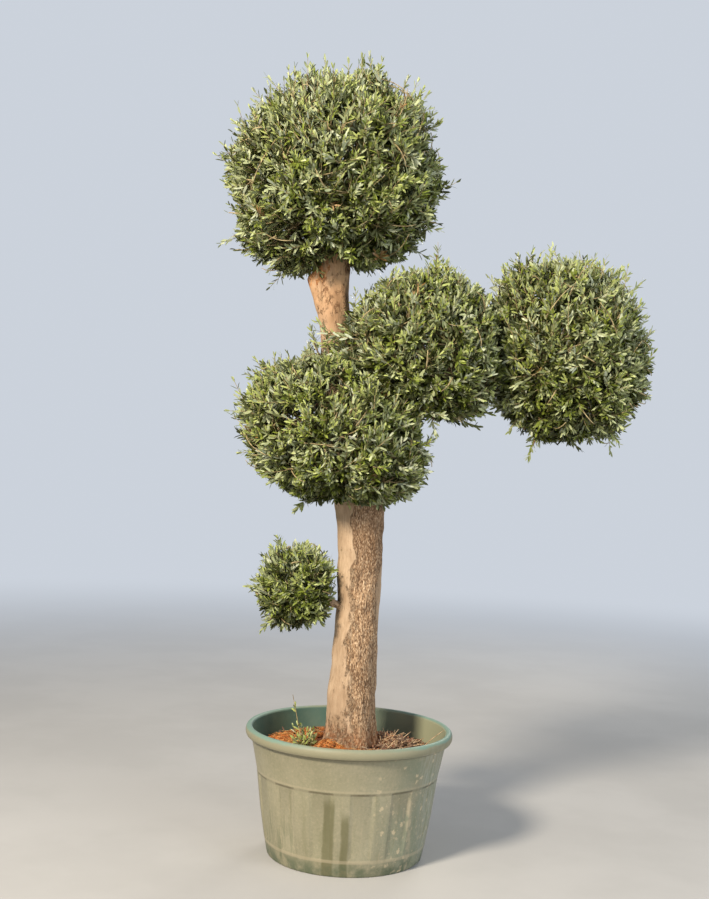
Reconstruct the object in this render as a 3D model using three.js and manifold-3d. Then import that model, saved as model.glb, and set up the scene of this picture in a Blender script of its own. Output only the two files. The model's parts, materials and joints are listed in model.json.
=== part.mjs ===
// Olive tree clipped into five leafy balls on one trunk, standing in a round nursery pot.
// Millimetres, +Z up. The origin is the centre of the pot's flat underside, and -Y is the front.
import * as THREE from "three";
import { mergeVertices } from "three/addons/utils/BufferGeometryUtils.js";
import Module from "manifold-3d";

const wasm = await Module();
wasm.setup();

// Gap between pieces that touch, and the weld distance of a mesh's doubled corners
const CLEAR = 0.3;
const WELD = 1e-3;
// Faces slimmer than this are merged into their neighbours
const SLIVER = 0.1;

// Pot: a rolled rim, a plain upper band, and a lower wall with shallow pressed panels
const POT_HEIGHT = 550;
const RIM_RADIUS = 450;
const RIM_BAND = 47;
const BAND_TOP_RADIUS = 424;
const STEP_RADIUS = 394;
const STEP_HEIGHT = 360;
const WAIST_RADIUS = 374;
const WAIST_HEIGHT = 200;
const FOOT_BAND_RADIUS = 349;
const FOOT_BAND_HEIGHT = 60;
const BASE_RADIUS = 337;
const WALL = 8;
const FLOOR = 12;
// The rolled rim, from its outside foot over to the inside: inward from its radius, up from the band
const RIM_ROLL = [
  [5, 9],
  [0, 21],
  [1, 37],
  [11, 47],
  [26, 45],
];
const PANELS = 14;
const PANEL_DEPTH = 5.5;
const PANEL_LEDGE = 14;
const PANEL_LINTEL = 4;
const FIRST_PANEL = THREE.MathUtils.degToRad(-80);
// Where the five corners of one panel's turn lie: the rib ends, the recess begins, its middle and back
const PANEL_PHASES = [0.185, 0.215, 0.5, 0.785, 0.815];

// Soil: filled up from the pot's floor, mounded to the flat place under the trunk, lower at the right
const SOIL_EDGE_HEIGHT = 442;
const SOIL_EDGE_TILT = 8;
const SOIL_MOUND_HEIGHT = 474;
const SOIL_SEAT_HEIGHT = 467.7;
const SOIL_SEAT_RADIUS = 172;
const SOIL_MOUND_WIDTH = 34;
const SOIL_RIPPLE = 3;
const SOIL_RIPPLE_SPANS = [61, 97];
const SOIL_SEGMENTS = 28;
// Its flat sides stay inside the pot's, whose corners lie at other angles
const SOIL_INSET = 2;

// Trunk: centre line and radius by height, from the flat cut on the soil to its end in the top ball
const TRUNK_FOOT = SOIL_SEAT_HEIGHT + CLEAR;
const TRUNK = {
  stations: [
    { at: [6, 0, TRUNK_FOOT - 20], radius: 127 },
    { at: [6, 2, 560], radius: 113 },
    { at: [7, 5, 750], radius: 105 },
    { at: [14, 8, 1087], radius: 93 },
    { at: [9, 5, 1310], radius: 97 },
    { at: [2, 0, 1488], radius: 101 },
    { at: [-28, -4, 1720], radius: 98 },
    { at: [-92, -4, 1980], radius: 80 },
    { at: [-131, 0, 2207], radius: 69 },
    { at: [-150, 0, 2408], radius: 68 },
    { at: [-149, 0, 2620], radius: 67 },
  ],
  sides: 14,
  rings: 24,
  flute: 0.035,
};
const ROOT_LOBES = 5;
const ROOT_FLARE = 0.09;
const ROOT_FLARE_HEIGHT = 120;

// Pruned stub on the left of the upper trunk, cut off on a slant
const STUB = {
  stations: [
    { at: [-160, -12, 2290], radius: 44 },
    { at: [-196, -18, 2400], radius: 43 },
    { at: [-248, -24, 2560], radius: 42 },
  ],
  sides: 12,
  rings: 4,
  flute: 0.02,
};
const STUB_CUT_AT = [-238, -24, 2518];
const STUB_CUT_NORMAL = [-0.72, -0.12, 0.68];

// Boughs: one to the right through the inner ball into the outer one, and a short low one to the left
const RIGHT_BOUGH = {
  stations: [
    { at: [-10, -8, 1760], radius: 62 },
    { at: [110, -34, 1915], radius: 58 },
    { at: [235, -52, 2070], radius: 53 },
    { at: [430, -34, 2152], radius: 47 },
    { at: [650, -6, 2192], radius: 41 },
  ],
  sides: 10,
  rings: 14,
  flute: 0.03,
};
const LOW_BOUGH = {
  stations: [
    { at: [-40, -16, 1066], radius: 22 },
    { at: [-130, -24, 1098], radius: 17 },
    { at: [-200, -28, 1130], radius: 14 },
  ],
  sides: 8,
  rings: 5,
  flute: 0.02,
};

// Leafy balls. outline: how far the ball reaches from its centre, seen from the front, at even steps
// round from the right and over the top. depth: its reach to the front and back. core: the dense inside
// as a share of the ball. leaf: a leaf's length. shoots: single long twigs, as azimuth and elevation in
// degrees (-90 is the front) and how far they reach as a share of the ball.
const BALLS = [
  {
    name: "foliage_top",
    centre: [-163, 0, 2948],
    outline: [480, 454, 486, 478, 452, 458, 454, 471, 480, 500, 530, 500, 432, 458, 484, 500],
    depth: 450,
    core: 0.88,
    leaf: 104,
    twigs: 35,
    seed: 11,
    stem: { from: [-149, 0, 2590], to: [-165, 0, 2900], radius: 60 },
    shoots: [
      { azimuth: 180, elevation: 82, reach: 1.19 },
      { azimuth: 3, elevation: 44, reach: 1.17 },
      { azimuth: -12, elevation: 26, reach: 1.14 },
      { azimuth: 185, elevation: 24, reach: 1.11 },
      { azimuth: 178, elevation: -33, reach: 1.18 },
      { azimuth: 75, elevation: 12, reach: 1.1 },
      { azimuth: -95, elevation: 8, reach: 1.09 },
    ],
  },
  {
    name: "foliage_middle",
    centre: [-118, -60, 1835],
    outline: [393, 404, 356, 334, 337, 371, 414, 440, 427, 408, 358, 343, 321, 358, 432, 464],
    depth: 400,
    core: 0.87,
    leaf: 98,
    twigs: 28,
    seed: 23,
    around: ["trunk"],
    shoots: [
      { azimuth: 183, elevation: 30, reach: 1.1 },
      { azimuth: 176, elevation: -16, reach: 1.09 },
      { azimuth: -150, elevation: -38, reach: 1.1 },
      { azimuth: -90, elevation: 2, reach: 1.06 },
      { azimuth: -150, elevation: 72, reach: 1.32 },
      { azimuth: -118, elevation: 75, reach: 1.27 },
      { azimuth: -78, elevation: 72, reach: 1.22 },
      { azimuth: -168, elevation: -66, reach: 1.2 },
    ],
  },
  {
    name: "foliage_right_inner",
    centre: [252, -110, 2215],
    outline: [333, 349, 342, 350, 342, 342, 361, 353, 331, 325, 329, 321, 325, 363, 412, 368],
    depth: 330,
    core: 0.85,
    leaf: 94,
    twigs: 20,
    seed: 37,
    around: ["right_bough"],
    shoots: [
      { azimuth: -70, elevation: 78, reach: 1.36 },
      { azimuth: -60, elevation: -74, reach: 1.24 },
      { azimuth: -168, elevation: 16, reach: 1.1 },
    ],
  },
  {
    name: "foliage_right_outer",
    centre: [882, 0, 2221],
    outline: [349, 334, 371, 416, 425, 450, 452, 396, 358, 380, 412, 419, 414, 445, 430, 384],
    depth: 375,
    core: 0.87,
    leaf: 98,
    twigs: 29,
    seed: 41,
    stem: { from: [630, -8, 2189], to: [850, 0, 2232], radius: 36 },
    shoots: [
      { azimuth: -20, elevation: 45, reach: 1.2 },
      { azimuth: -5, elevation: 4, reach: 1.09 },
      { azimuth: -160, elevation: -70, reach: 1.26 },
      { azimuth: -30, elevation: -58, reach: 1.1 },
      { azimuth: 120, elevation: 60, reach: 1.06 },
    ],
  },
  {
    name: "foliage_low",
    centre: [-256, -34, 1154],
    outline: [184, 189, 197, 198, 196, 198, 197, 189, 184, 188, 194, 194, 190, 194, 194, 188],
    depth: 180,
    core: 0.78,
    leaf: 74,
    twigs: 10,
    seed: 53,
    stem: { from: [-192, -27, 1127], to: [-250, -34, 1146], radius: 11 },
    shoots: [
      { azimuth: 150, elevation: 62, reach: 1.32 },
      { azimuth: 178, elevation: -4, reach: 1.28 },
      { azimuth: -160, elevation: -52, reach: 1.36 },
    ],
  },
];
const CORE_DETAIL = 2;
const CORE_LUMPS = 0.035;
// Power that rounds a ball off to the front and back: 2 would be a plain ellipsoid
const BALL_POWER = 2.25;
// Nothing of a ball passes this share of it, apart from its long shoots
const BALL_SPACE = 1.09;
// How much nearer a leaf stays to its own ball than to the next one
const BALL_BORDER = 0.02;

// Twigs and leaves, larger than life because each stands for a spray
const TWIG_FOOT_RADIUS = 9;
const TWIG_TIP_RADIUS = 3.2;
const TWIG_ARCH = 0.1;
const LEAF_WIDTH = 0.27;
const LEAF_THICKNESS = 0.045;
// Share of a leaf's length at which it is widest
const LEAF_WIDEST = 0.45;
const LEAF_SPREAD = THREE.MathUtils.degToRad(60);
// How far a short twig's end stands out of the core
const TWIG_PROUD = 22;
const LEAF_PAIRS = 2;
// Share of the twig at which its last leaf is rooted
const TIP_LEAF_ROOT = 0.95;
const LIMB_MARGIN = 8;
// Middles of two twigs' leaves stay this far apart, as a share of a leaf
const LEAF_SPACING = 0.3;

// Sucker: a young shoot from the soil left of the trunk
const SUCKER_FOOT = [-190, -142, 462];
const SUCKER_TIP = [-246, -152, 705];
const SUCKER_RADIUS = 4;
const SUCKER_LEAF = 62;
const SUCKER_PAIRS = [0.22, 0.42, 0.72];
const SUCKER_SEED = 71;

const GOLDEN_ANGLE = Math.PI * (3 - Math.sqrt(5));
const UP = new THREE.Vector3(0, 0, 1);

const barkMaterial = new THREE.MeshStandardMaterial({ color: 0x9c7a52, roughness: 0.9, metalness: 0 });
const leafMaterial = new THREE.MeshStandardMaterial({ color: 0x6f7a3c, roughness: 0.6, metalness: 0 });
const potMaterial = new THREE.MeshStandardMaterial({ color: 0xa3a07e, roughness: 0.55, metalness: 0 });
const soilMaterial = new THREE.MeshStandardMaterial({ color: 0x8a4f2c, roughness: 0.95, metalness: 0 });

// Numbers from 0 to 1 that come in the same order every time
function dice(seed) {
  let state = seed;
  return () => {
    state = (state * 1664525 + 1013904223) % 4294967296;
    return state / 4294967296;
  };
}

function vector(place) {
  return new THREE.Vector3(...place);
}

// A closed geometry as a solid that can be joined and cut
function solidOf(geometry) {
  const bare = geometry.clone();
  bare.deleteAttribute("normal");
  bare.deleteAttribute("uv");
  const merged = mergeVertices(bare, WELD);
  return new wasm.Manifold(
    new wasm.Mesh({
      numProp: 3,
      vertProperties: merged.attributes.position.array,
      triVerts: new Uint32Array(merged.index.array),
    }),
  );
}

function geometryOf(solid) {
  const mesh = solid.getMesh();
  const geometry = new THREE.BufferGeometry();
  geometry.setAttribute("position", new THREE.BufferAttribute(mesh.vertProperties, 3));
  geometry.setIndex(new THREE.BufferAttribute(mesh.triVerts, 1));
  geometry.computeVertexNormals();
  return geometry;
}

// Moves every corner of a geometry to where place(corner) puts it
function reshaped(geometry, place) {
  const corners = geometry.attributes.position;
  const corner = new THREE.Vector3();
  for (let i = 0; i < corners.count; i += 1) {
    corner.fromBufferAttribute(corners, i);
    const moved = place(corner);
    corners.setXYZ(i, moved.x, moved.y, moved.z);
  }
  return geometry;
}

// A turned solid about Z, from a profile of [radius, height] that starts and ends on the axis.
// Its corners start at +X.
function turned(profile, segments) {
  const points = profile.map(([radius, height]) => new THREE.Vector2(radius, height));
  return new THREE.LatheGeometry(points, segments).rotateX(Math.PI / 2).rotateZ(Math.PI / 2);
}

// Outer radius of the pot's wall below the rim
function wallRadius(height) {
  const stations = [
    [0, BASE_RADIUS],
    [FOOT_BAND_HEIGHT, FOOT_BAND_RADIUS],
    [WAIST_HEIGHT, WAIST_RADIUS],
    [STEP_HEIGHT, STEP_RADIUS],
    [POT_HEIGHT - RIM_BAND, BAND_TOP_RADIUS],
  ];
  const next = Math.max(1, stations.findIndex(([level]) => level >= height));
  const [low, lowRadius] = stations[next - 1];
  const [high, highRadius] = stations[next];
  return THREE.MathUtils.mapLinear(height, low, high, lowRadius, highRadius);
}

// Inner radius: one straight slope, which leaves the wall its thickness behind the panels too
function innerRadius(height) {
  const foot = BASE_RADIUS - WALL - PANEL_DEPTH;
  return THREE.MathUtils.mapLinear(height, FLOOR, POT_HEIGHT - RIM_BAND, foot, BAND_TOP_RADIUS - WALL);
}

function makePot() {
  const bandTop = POT_HEIGHT - RIM_BAND;
  const panelFoot = FOOT_BAND_HEIGHT + PANEL_LEDGE;
  const profile = [
    [0, 0],
    [BASE_RADIUS, 0],
    [wallRadius(FOOT_BAND_HEIGHT), FOOT_BAND_HEIGHT],
    [wallRadius(panelFoot), panelFoot],
    [wallRadius(WAIST_HEIGHT), WAIST_HEIGHT],
    [wallRadius(STEP_HEIGHT - PANEL_LINTEL), STEP_HEIGHT - PANEL_LINTEL],
    [STEP_RADIUS, STEP_HEIGHT],
    [BAND_TOP_RADIUS, bandTop],
    ...RIM_ROLL.map(([inward, up]) => [RIM_RADIUS - inward, bandTop + up]),
    [innerRadius(bandTop), bandTop],
    [innerRadius(FLOOR), FLOOR],
    [0, FLOOR],
  ];
  // The rows of the outer wall that the panels press in
  const pressedFrom = panelFoot - 1;
  const pressedTo = STEP_HEIGHT - PANEL_LINTEL + 1;
  const corners = PANEL_PHASES.length;
  const segments = PANELS * corners;
  const place = ({ x, y, z }) => {
    const radius = Math.hypot(x, y);
    if (radius < 1) return new THREE.Vector3(0, 0, z);
    const step = Math.round((Math.atan2(y, x) / (2 * Math.PI)) * segments + segments) % segments;
    const phase = PANEL_PHASES[step % corners];
    const angle = FIRST_PANEL + ((Math.floor(step / corners) + phase - 0.5) / PANELS) * 2 * Math.PI;
    const outside = radius > innerRadius(z) + 1;
    const recessed = outside && z > pressedFrom && z < pressedTo && phase > 0.2 && phase < 0.8;
    const pressed = radius - (recessed ? PANEL_DEPTH : 0);
    return new THREE.Vector3(pressed * Math.cos(angle), pressed * Math.sin(angle), z);
  };
  return solidOf(reshaped(turned(profile, segments), place));
}

function makeSoil() {
  const edgeRadius = innerRadius(SOIL_EDGE_HEIGHT - SOIL_EDGE_TILT) - 3 * SOIL_INSET;
  const profile = [
    [0, FLOOR + CLEAR],
    [innerRadius(FLOOR) - SOIL_INSET, FLOOR + CLEAR],
    [edgeRadius, SOIL_EDGE_HEIGHT],
    [(edgeRadius + SOIL_SEAT_RADIUS) / 2, (SOIL_EDGE_HEIGHT + SOIL_MOUND_HEIGHT) / 2 + SOIL_RIPPLE],
    [SOIL_SEAT_RADIUS + SOIL_MOUND_WIDTH, SOIL_MOUND_HEIGHT],
    [SOIL_SEAT_RADIUS, SOIL_SEAT_HEIGHT],
    [0, SOIL_SEAT_HEIGHT],
  ];
  const [acrossSpan, alongSpan] = SOIL_RIPPLE_SPANS;
  const place = ({ x, y, z }) => {
    const radius = Math.hypot(x, y);
    const top = z > FLOOR + 1 && radius > SOIL_SEAT_RADIUS + 1;
    const tilt = top ? (-SOIL_EDGE_TILT * x) / BAND_TOP_RADIUS : 0;
    const ripple = top ? SOIL_RIPPLE * Math.sin(x / acrossSpan + y / alongSpan) : 0;
    return new THREE.Vector3(x, y, z + tilt + ripple);
  };
  return solidOf(reshaped(turned(profile, SOIL_SEGMENTS), place));
}

// A limb's middle and radius at a share of its way, from foot to tip
function limbAt(limb, share) {
  const curve = new THREE.CatmullRomCurve3(limb.stations.map(({ at }) => vector(at)), false, "catmullrom");
  const way = share * (limb.stations.length - 1);
  const low = Math.min(Math.floor(way), limb.stations.length - 2);
  const radius = THREE.MathUtils.lerp(
    limb.stations[low].radius,
    limb.stations[low + 1].radius,
    way - low,
  );
  return { middle: curve.getPoint(share), along: curve.getTangent(share), radius };
}

// The rings of a round limb, with the given radius at each share of its way and angle round it,
// and its two ends pushed out by longer
function tube(sides, rings, at, radiusAt, longer = 0) {
  const geometry = new THREE.CylinderGeometry(1, 1, 1, sides, rings);
  return reshaped(geometry, (corner) => {
    const share = corner.y + 0.5;
    const { middle, along } = at(share);
    const pushed = share === 0 ? -longer : share === 1 ? longer : 0;
    const aside = new THREE.Vector3(0, 1, 0).cross(along);
    if (aside.length() < 0.2) aside.crossVectors(UP, along);
    aside.normalize();
    const across = new THREE.Vector3().crossVectors(aside, along);
    const angle = Math.atan2(corner.z, corner.x);
    const radius = Math.hypot(corner.x, corner.z) * radiusAt(share, angle);
    return middle
      .clone()
      .addScaledVector(aside, radius * Math.cos(angle))
      .addScaledVector(across, radius * Math.sin(angle))
      .addScaledVector(along, pushed);
  });
}

// A limb that isn't quite round, larger by grown where a neighbour is cut clear of it
function limbSolid(limb, grown = 0) {
  const flare = limb === TRUNK ? ROOT_FLARE : 0;
  const radiusAt = (share, angle) => {
    const { middle, radius } = limbAt(limb, share);
    const flutes = limb.flute * (Math.cos(2 * angle + middle.z / 260) + Math.cos(3 * angle - middle.z / 190));
    const fading = Math.exp((TRUNK_FOOT - middle.z) / ROOT_FLARE_HEIGHT);
    const roots = flare * fading * Math.cos(ROOT_LOBES * angle);
    return radius * (1 + flutes + roots) + grown;
  };
  return solidOf(tube(limb.sides, limb.rings, (share) => limbAt(limb, share), radiusAt, grown));
}

// A box that covers all of a limb that lies past a plane
function beyond(at, normal) {
  const size = 4 * POT_HEIGHT;
  const direction = vector(normal).normalize();
  const turn = new THREE.Quaternion().setFromUnitVectors(UP, direction);
  const box = new THREE.BoxGeometry(size, size, size).applyQuaternion(turn);
  const middle = vector(at).addScaledVector(direction, size / 2);
  return solidOf(box.translate(middle.x, middle.y, middle.z));
}

// The trunk with its stub, cut flat where it stands on the soil
function makeTrunk() {
  const stub = limbSolid(STUB).subtract(beyond(STUB_CUT_AT, STUB_CUT_NORMAL));
  return limbSolid(TRUNK).add(stub).subtract(beyond([0, 0, TRUNK_FOOT], [0, 0, -1]));
}

// A ball's reach at an angle round its outline, smooth between the steps
function outlineAt(outline, angle) {
  const steps = outline.length;
  const way = ((angle / (2 * Math.PI) + 1) % 1) * steps;
  const step = Math.floor(way);
  const [before, from, to, after] = [-1, 0, 1, 2].map((i) => outline[(step + i + steps) % steps]);
  const share = way - step;
  const slope = (to - before) / 2;
  const bend = before - 2.5 * from + 2 * to - after / 2;
  const twist = 1.5 * (from - to) + (after - before) / 2;
  return from + share * (slope + share * (bend + share * twist));
}

// How far a ball reaches from its centre in a direction
function ballReach(ball, direction) {
  const flat = Math.hypot(direction.x, direction.z);
  const aside = flat / outlineAt(ball.outline, Math.atan2(direction.z, direction.x));
  const forward = Math.abs(direction.y) / ball.depth;
  return (aside ** BALL_POWER + forward ** BALL_POWER) ** (-1 / BALL_POWER);
}

// A place's distance from a ball's centre, as a share of the ball
function ballShare(ball, place) {
  const offset = place.clone().sub(vector(ball.centre));
  return offset.length() / ballReach(ball, offset.clone().normalize());
}

// Whether a place is in the ball's own space: within its reach and nearer to it than to any other ball
function inSpace(ball, place, reach) {
  const share = ballShare(ball, place);
  const nearest = BALLS.every((other) => other === ball || share < ballShare(other, place) - BALL_BORDER);
  return share < reach && nearest;
}

// Distance from a place to a limb's surface, and the middle of the limb there
function nearestOnLimb(limb, place) {
  let best = { gap: Infinity };
  const steps = 3 * limb.rings;
  for (let i = 0; i <= steps; i += 1) {
    const { middle, radius } = limbAt(limb, i / steps);
    const gap = place.distanceTo(middle) - radius * (1 + 2 * limb.flute);
    if (gap < best.gap) best = { gap, middle, radius };
  }
  return best;
}

const LIMBS = { trunk: TRUNK, stub: STUB, right_bough: RIGHT_BOUGH, low_bough: LOW_BOUGH };

function clearOfLimbs(place) {
  return Object.values(LIMBS).every((limb) => nearestOnLimb(limb, place).gap > LIMB_MARGIN);
}

// The dense inside of a ball, slightly lumpy, and drawn in where the next ball's space begins
function makeCore(ball) {
  const centre = vector(ball.centre);
  const core = new THREE.IcosahedronGeometry(1, CORE_DETAIL);
  return solidOf(
    reshaped(core, (corner) => {
      const direction = corner.clone().normalize();
      const lumps =
        Math.sin(5 * direction.x + ball.seed) +
        Math.sin(4 * direction.y + 2 * ball.seed) +
        Math.sin(5 * direction.z + 3 * ball.seed);
      let radius = ballReach(ball, direction) * ball.core * (1 + (CORE_LUMPS * lumps) / 2);
      const place = () => centre.clone().addScaledVector(direction, radius);
      while (!inSpace(ball, place(), 1)) radius *= 0.98;
      return place();
    }),
  );
}

// One leaf: eight faces, widest before its middle
function leafSolid(root, along, flat, length) {
  const side = new THREE.Vector3().crossVectors(flat, along).normalize();
  const thick = new THREE.Vector3().crossVectors(side, along).normalize();
  return reshaped(new THREE.OctahedronGeometry(1, 0), (corner) =>
    root
      .clone()
      .addScaledVector(along, length * (corner.y === 0 ? LEAF_WIDEST : 0.5 + 0.5 * corner.y))
      .addScaledVector(side, (corner.x * length * LEAF_WIDTH) / 2)
      .addScaledVector(thick, (corner.z * length * LEAF_THICKNESS) / 2),
  );
}

// A three-sided twig along a curve, with opposite pairs of leaves and one at its tip.
// keep(leaf) says whether a leaf may stay: it may not leave its space or touch a limb.
function growTwig(curve, pairShares, leafLength, radii, random, keep) {
  const at = (share) => ({ middle: curve.getPoint(share), along: curve.getTangent(share) });
  const radiusAt = (share) => THREE.MathUtils.lerp(radii[0], radii[1], share);
  const twig = tube(3, 2, at, radiusAt);
  const grown = [twig];
  const addLeaf = (share, along, flat, length) => {
    const leaf = leafSolid(curve.getPoint(share), along, flat, length);
    if (keep(leaf)) grown.push(leaf);
  };
  let turn = random() * Math.PI;
  for (const share of pairShares) {
    const { along } = at(share);
    const across = new THREE.Vector3(0.31, 0.77, 0.55).cross(along).normalize().applyAxisAngle(along, turn);
    for (const sign of [-1, 1]) {
      const spread = LEAF_SPREAD * (0.85 + 0.3 * random());
      const direction = along
        .clone()
        .multiplyScalar(Math.cos(spread))
        .addScaledVector(across, sign * Math.sin(spread));
      addLeaf(share, direction, along, leafLength * (0.88 + 0.24 * random()));
    }
    turn += Math.PI / 2 + 0.3 * (random() - 0.5);
  }
  const { along } = at(1);
  const flat = new THREE.Vector3(0.6, -0.3, 0.74).cross(along).normalize();
  addLeaf(TIP_LEAF_ROOT, along, flat, leafLength);
  return grown;
}

function directionOf(azimuth, elevation) {
  return new THREE.Vector3(
    Math.cos(elevation) * Math.cos(azimuth),
    Math.cos(elevation) * Math.sin(azimuth),
    Math.sin(elevation),
  );
}

// Where the twigs of a ball point: its long shoots, then the others, evenly spread with a little chance
function twigDirections(ball, random) {
  const directions = ball.shoots.map(({ azimuth, elevation, reach }) => ({
    direction: directionOf(THREE.MathUtils.degToRad(azimuth), THREE.MathUtils.degToRad(elevation)),
    reach,
  }));
  for (let i = 0; i < ball.twigs; i += 1) {
    const height = 1 - (2 * i + 1) / ball.twigs;
    const azimuth = i * GOLDEN_ANGLE + 0.25 * (random() - 0.5);
    const elevation = Math.asin(THREE.MathUtils.clamp(height + 0.06 * (random() - 0.5), -1, 1));
    directions.push({ direction: directionOf(azimuth, elevation), reach: 0.97 + 0.08 * random() });
  }
  return directions;
}

// The place on a ball's own stem, or beside the limb it grows round, that a twig starts from
function twigFoot(ball, tip) {
  if (ball.stem) return vector(ball.stem.to);
  const limb = LIMBS[ball.around[0]];
  const share = ballShare(ball, tip);
  const inner = vector(ball.centre).lerp(tip, (0.7 * ball.core) / share);
  const { gap, middle, radius } = nearestOnLimb(limb, inner);
  if (gap > 3 * TWIG_FOOT_RADIUS) return inner;
  const away = inner.clone().sub(middle).normalize();
  return middle.clone().addScaledVector(away, radius + 3 * TWIG_FOOT_RADIUS);
}

function cornersOf(geometry) {
  const corners = geometry.attributes.position;
  return Array.from({ length: corners.count }, (_, i) => new THREE.Vector3().fromBufferAttribute(corners, i));
}

function makeBall(ball) {
  const random = dice(ball.seed);
  const pieces = [makeCore(ball)];
  const leafMiddles = [];
  if (ball.stem) {
    const { from, to, radius } = ball.stem;
    const stem = { stations: [{ at: from, radius }, { at: to, radius: radius / 2 }] };
    pieces.push(solidOf(tube(10, 2, (share) => limbAt(stem, share), (share) => limbAt(stem, share).radius)));
  }
  for (const { direction, reach } of twigDirections(ball, random)) {
    const surface = ballReach(ball, direction);
    const leafLength = ball.leaf;
    const end = Math.max(surface * ball.core + TWIG_PROUD, surface * reach - leafLength);
    const tip = vector(ball.centre).addScaledVector(direction, end);
    const foot = twigFoot(ball, tip);
    const bend = foot.clone().lerp(tip, 0.5);
    bend.z -= TWIG_ARCH * foot.distanceTo(tip);
    const curve = new THREE.QuadraticBezierCurve3(foot, bend, tip);
    const space = Math.max(BALL_SPACE, reach + 0.03);
    const twigLeaves = [];
    const keep = (leaf) => {
      const corners = cornersOf(leaf);
      const middle = new THREE.Box3().setFromPoints(corners).getCenter(new THREE.Vector3());
      const crowded = leafMiddles.some((other) => other.distanceTo(middle) < LEAF_SPACING * leafLength);
      const free = corners.every((corner) => inSpace(ball, corner, space) && clearOfLimbs(corner));
      if (free && !crowded) twigLeaves.push(middle);
      return free && !crowded;
    };
    if (!inSpace(ball, tip, space) || !clearOfLimbs(tip)) continue;
    // The first pair sits just above the core, the next between it and the tip
    let leaves = 0.3;
    while (leaves < 0.9 && ballShare(ball, curve.getPoint(leaves)) < ball.core + 0.01) leaves += 0.02;
    const pairAt = (_, i) => THREE.MathUtils.lerp(leaves, 1, i / LEAF_PAIRS);
    const pairs = Array.from({ length: LEAF_PAIRS }, pairAt);
    const radii = [TWIG_FOOT_RADIUS, TWIG_TIP_RADIUS];
    pieces.push(...growTwig(curve, pairs, leafLength, radii, random, keep).map(solidOf));
    leafMiddles.push(...twigLeaves);
  }
  let ballSolid = wasm.Manifold.union(pieces);
  for (const limb of Object.values(LIMBS)) ballSolid = ballSolid.subtract(limbSolid(limb, CLEAR));
  return mainBody(ballSolid);
}

// The main body of a solid, with its sealed hollows filled and loose scraps dropped. Twice, because
// corners that lie closer than the weld distance can part once they are joined.
function mainBody(solid) {
  let best = solid;
  for (let round = 0; round < 2; round += 1) {
    const bodies = solidOf(geometryOf(best)).simplify(SLIVER).decompose();
    best = bodies.reduce((largest, body) => (body.volume() > largest.volume() ? body : largest));
  }
  return best;
}

// The sucker, cut off clear of the soil that it comes out of
function makeSucker(soil) {
  const random = dice(SUCKER_SEED);
  const curve = new THREE.LineCurve3(vector(SUCKER_FOOT), vector(SUCKER_TIP));
  const radii = [SUCKER_RADIUS, SUCKER_RADIUS / 2];
  const sprig = growTwig(curve, SUCKER_PAIRS, SUCKER_LEAF, radii, random, () => true).map(solidOf);
  return mainBody(wasm.Manifold.union(sprig).subtract(soil.translate([0, 0, CLEAR])));
}

const soil = makeSoil();
const trunk = makeTrunk();
const trunkClear = limbSolid(TRUNK, CLEAR);
const solids = [
  ["pot", makePot(), potMaterial],
  ["soil", soil, soilMaterial],
  ["trunk", trunk, barkMaterial],
  ["right_bough", mainBody(limbSolid(RIGHT_BOUGH).subtract(trunkClear)), barkMaterial],
  ["low_bough", mainBody(limbSolid(LOW_BOUGH).subtract(trunkClear)), barkMaterial],
  ...BALLS.map((ball) => [ball.name, makeBall(ball), leafMaterial]),
  ["sucker", makeSucker(soil), leafMaterial],
];

const tree = new THREE.Group();
for (const [name, solid, material] of solids) {
  const mesh = new THREE.Mesh(geometryOf(solid), material);
  mesh.name = name;
  tree.add(mesh);
}

export default tree;
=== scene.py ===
# Potted olive tree clipped into five leafy balls: its looks, in metres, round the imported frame.
# +Z is up, -Y is the front, and the origin is the centre of the pot's flat underside.
import json
import math

import bpy
import numpy as np
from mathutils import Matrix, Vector

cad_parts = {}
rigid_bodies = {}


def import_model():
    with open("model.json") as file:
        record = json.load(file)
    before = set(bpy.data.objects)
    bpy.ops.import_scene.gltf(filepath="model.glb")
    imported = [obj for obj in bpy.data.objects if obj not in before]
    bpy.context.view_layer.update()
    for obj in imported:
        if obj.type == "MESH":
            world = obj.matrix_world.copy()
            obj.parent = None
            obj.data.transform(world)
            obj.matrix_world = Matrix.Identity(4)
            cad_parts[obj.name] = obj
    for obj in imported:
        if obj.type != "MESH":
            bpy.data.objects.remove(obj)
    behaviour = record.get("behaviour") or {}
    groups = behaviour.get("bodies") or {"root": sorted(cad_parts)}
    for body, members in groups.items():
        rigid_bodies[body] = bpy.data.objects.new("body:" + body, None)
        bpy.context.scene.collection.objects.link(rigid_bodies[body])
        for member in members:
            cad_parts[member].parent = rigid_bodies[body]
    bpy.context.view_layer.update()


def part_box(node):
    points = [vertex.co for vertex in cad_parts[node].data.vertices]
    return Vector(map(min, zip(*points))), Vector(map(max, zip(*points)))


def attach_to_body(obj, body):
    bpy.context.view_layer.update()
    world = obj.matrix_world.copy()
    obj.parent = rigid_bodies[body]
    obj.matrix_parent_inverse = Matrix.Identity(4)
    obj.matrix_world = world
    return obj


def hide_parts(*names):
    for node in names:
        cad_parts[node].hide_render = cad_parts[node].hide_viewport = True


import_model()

# The picture's own measures, in pixels, and the camera that took it
PICTURE_HEIGHT = 899
FOCAL_LENGTH_PIXELS = 1250
SENSOR = 36
CAMERA_PLACE = (-0.030, -5.454, 1.755)
CAMERA_ROLL = math.radians(2.5)
CAMERA_REACH = 200

# Studio: its pale backdrop, as the camera sees it and as it lights the plant
BACKDROP = (0.80, 0.86, 0.95, 1)
BACKDROP_SHOWN = 0.75
SKY_TINT = (0.68, 0.80, 1.0, 1)
SKY_LIGHT = 0.36
FLOOR_RADIUS = 60
# Distances between which the floor fades into the backdrop
FLOOR_FADE = (2.5, 11.0)
LIT_MIDDLE = (0.1, 0, 1.8)
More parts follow.
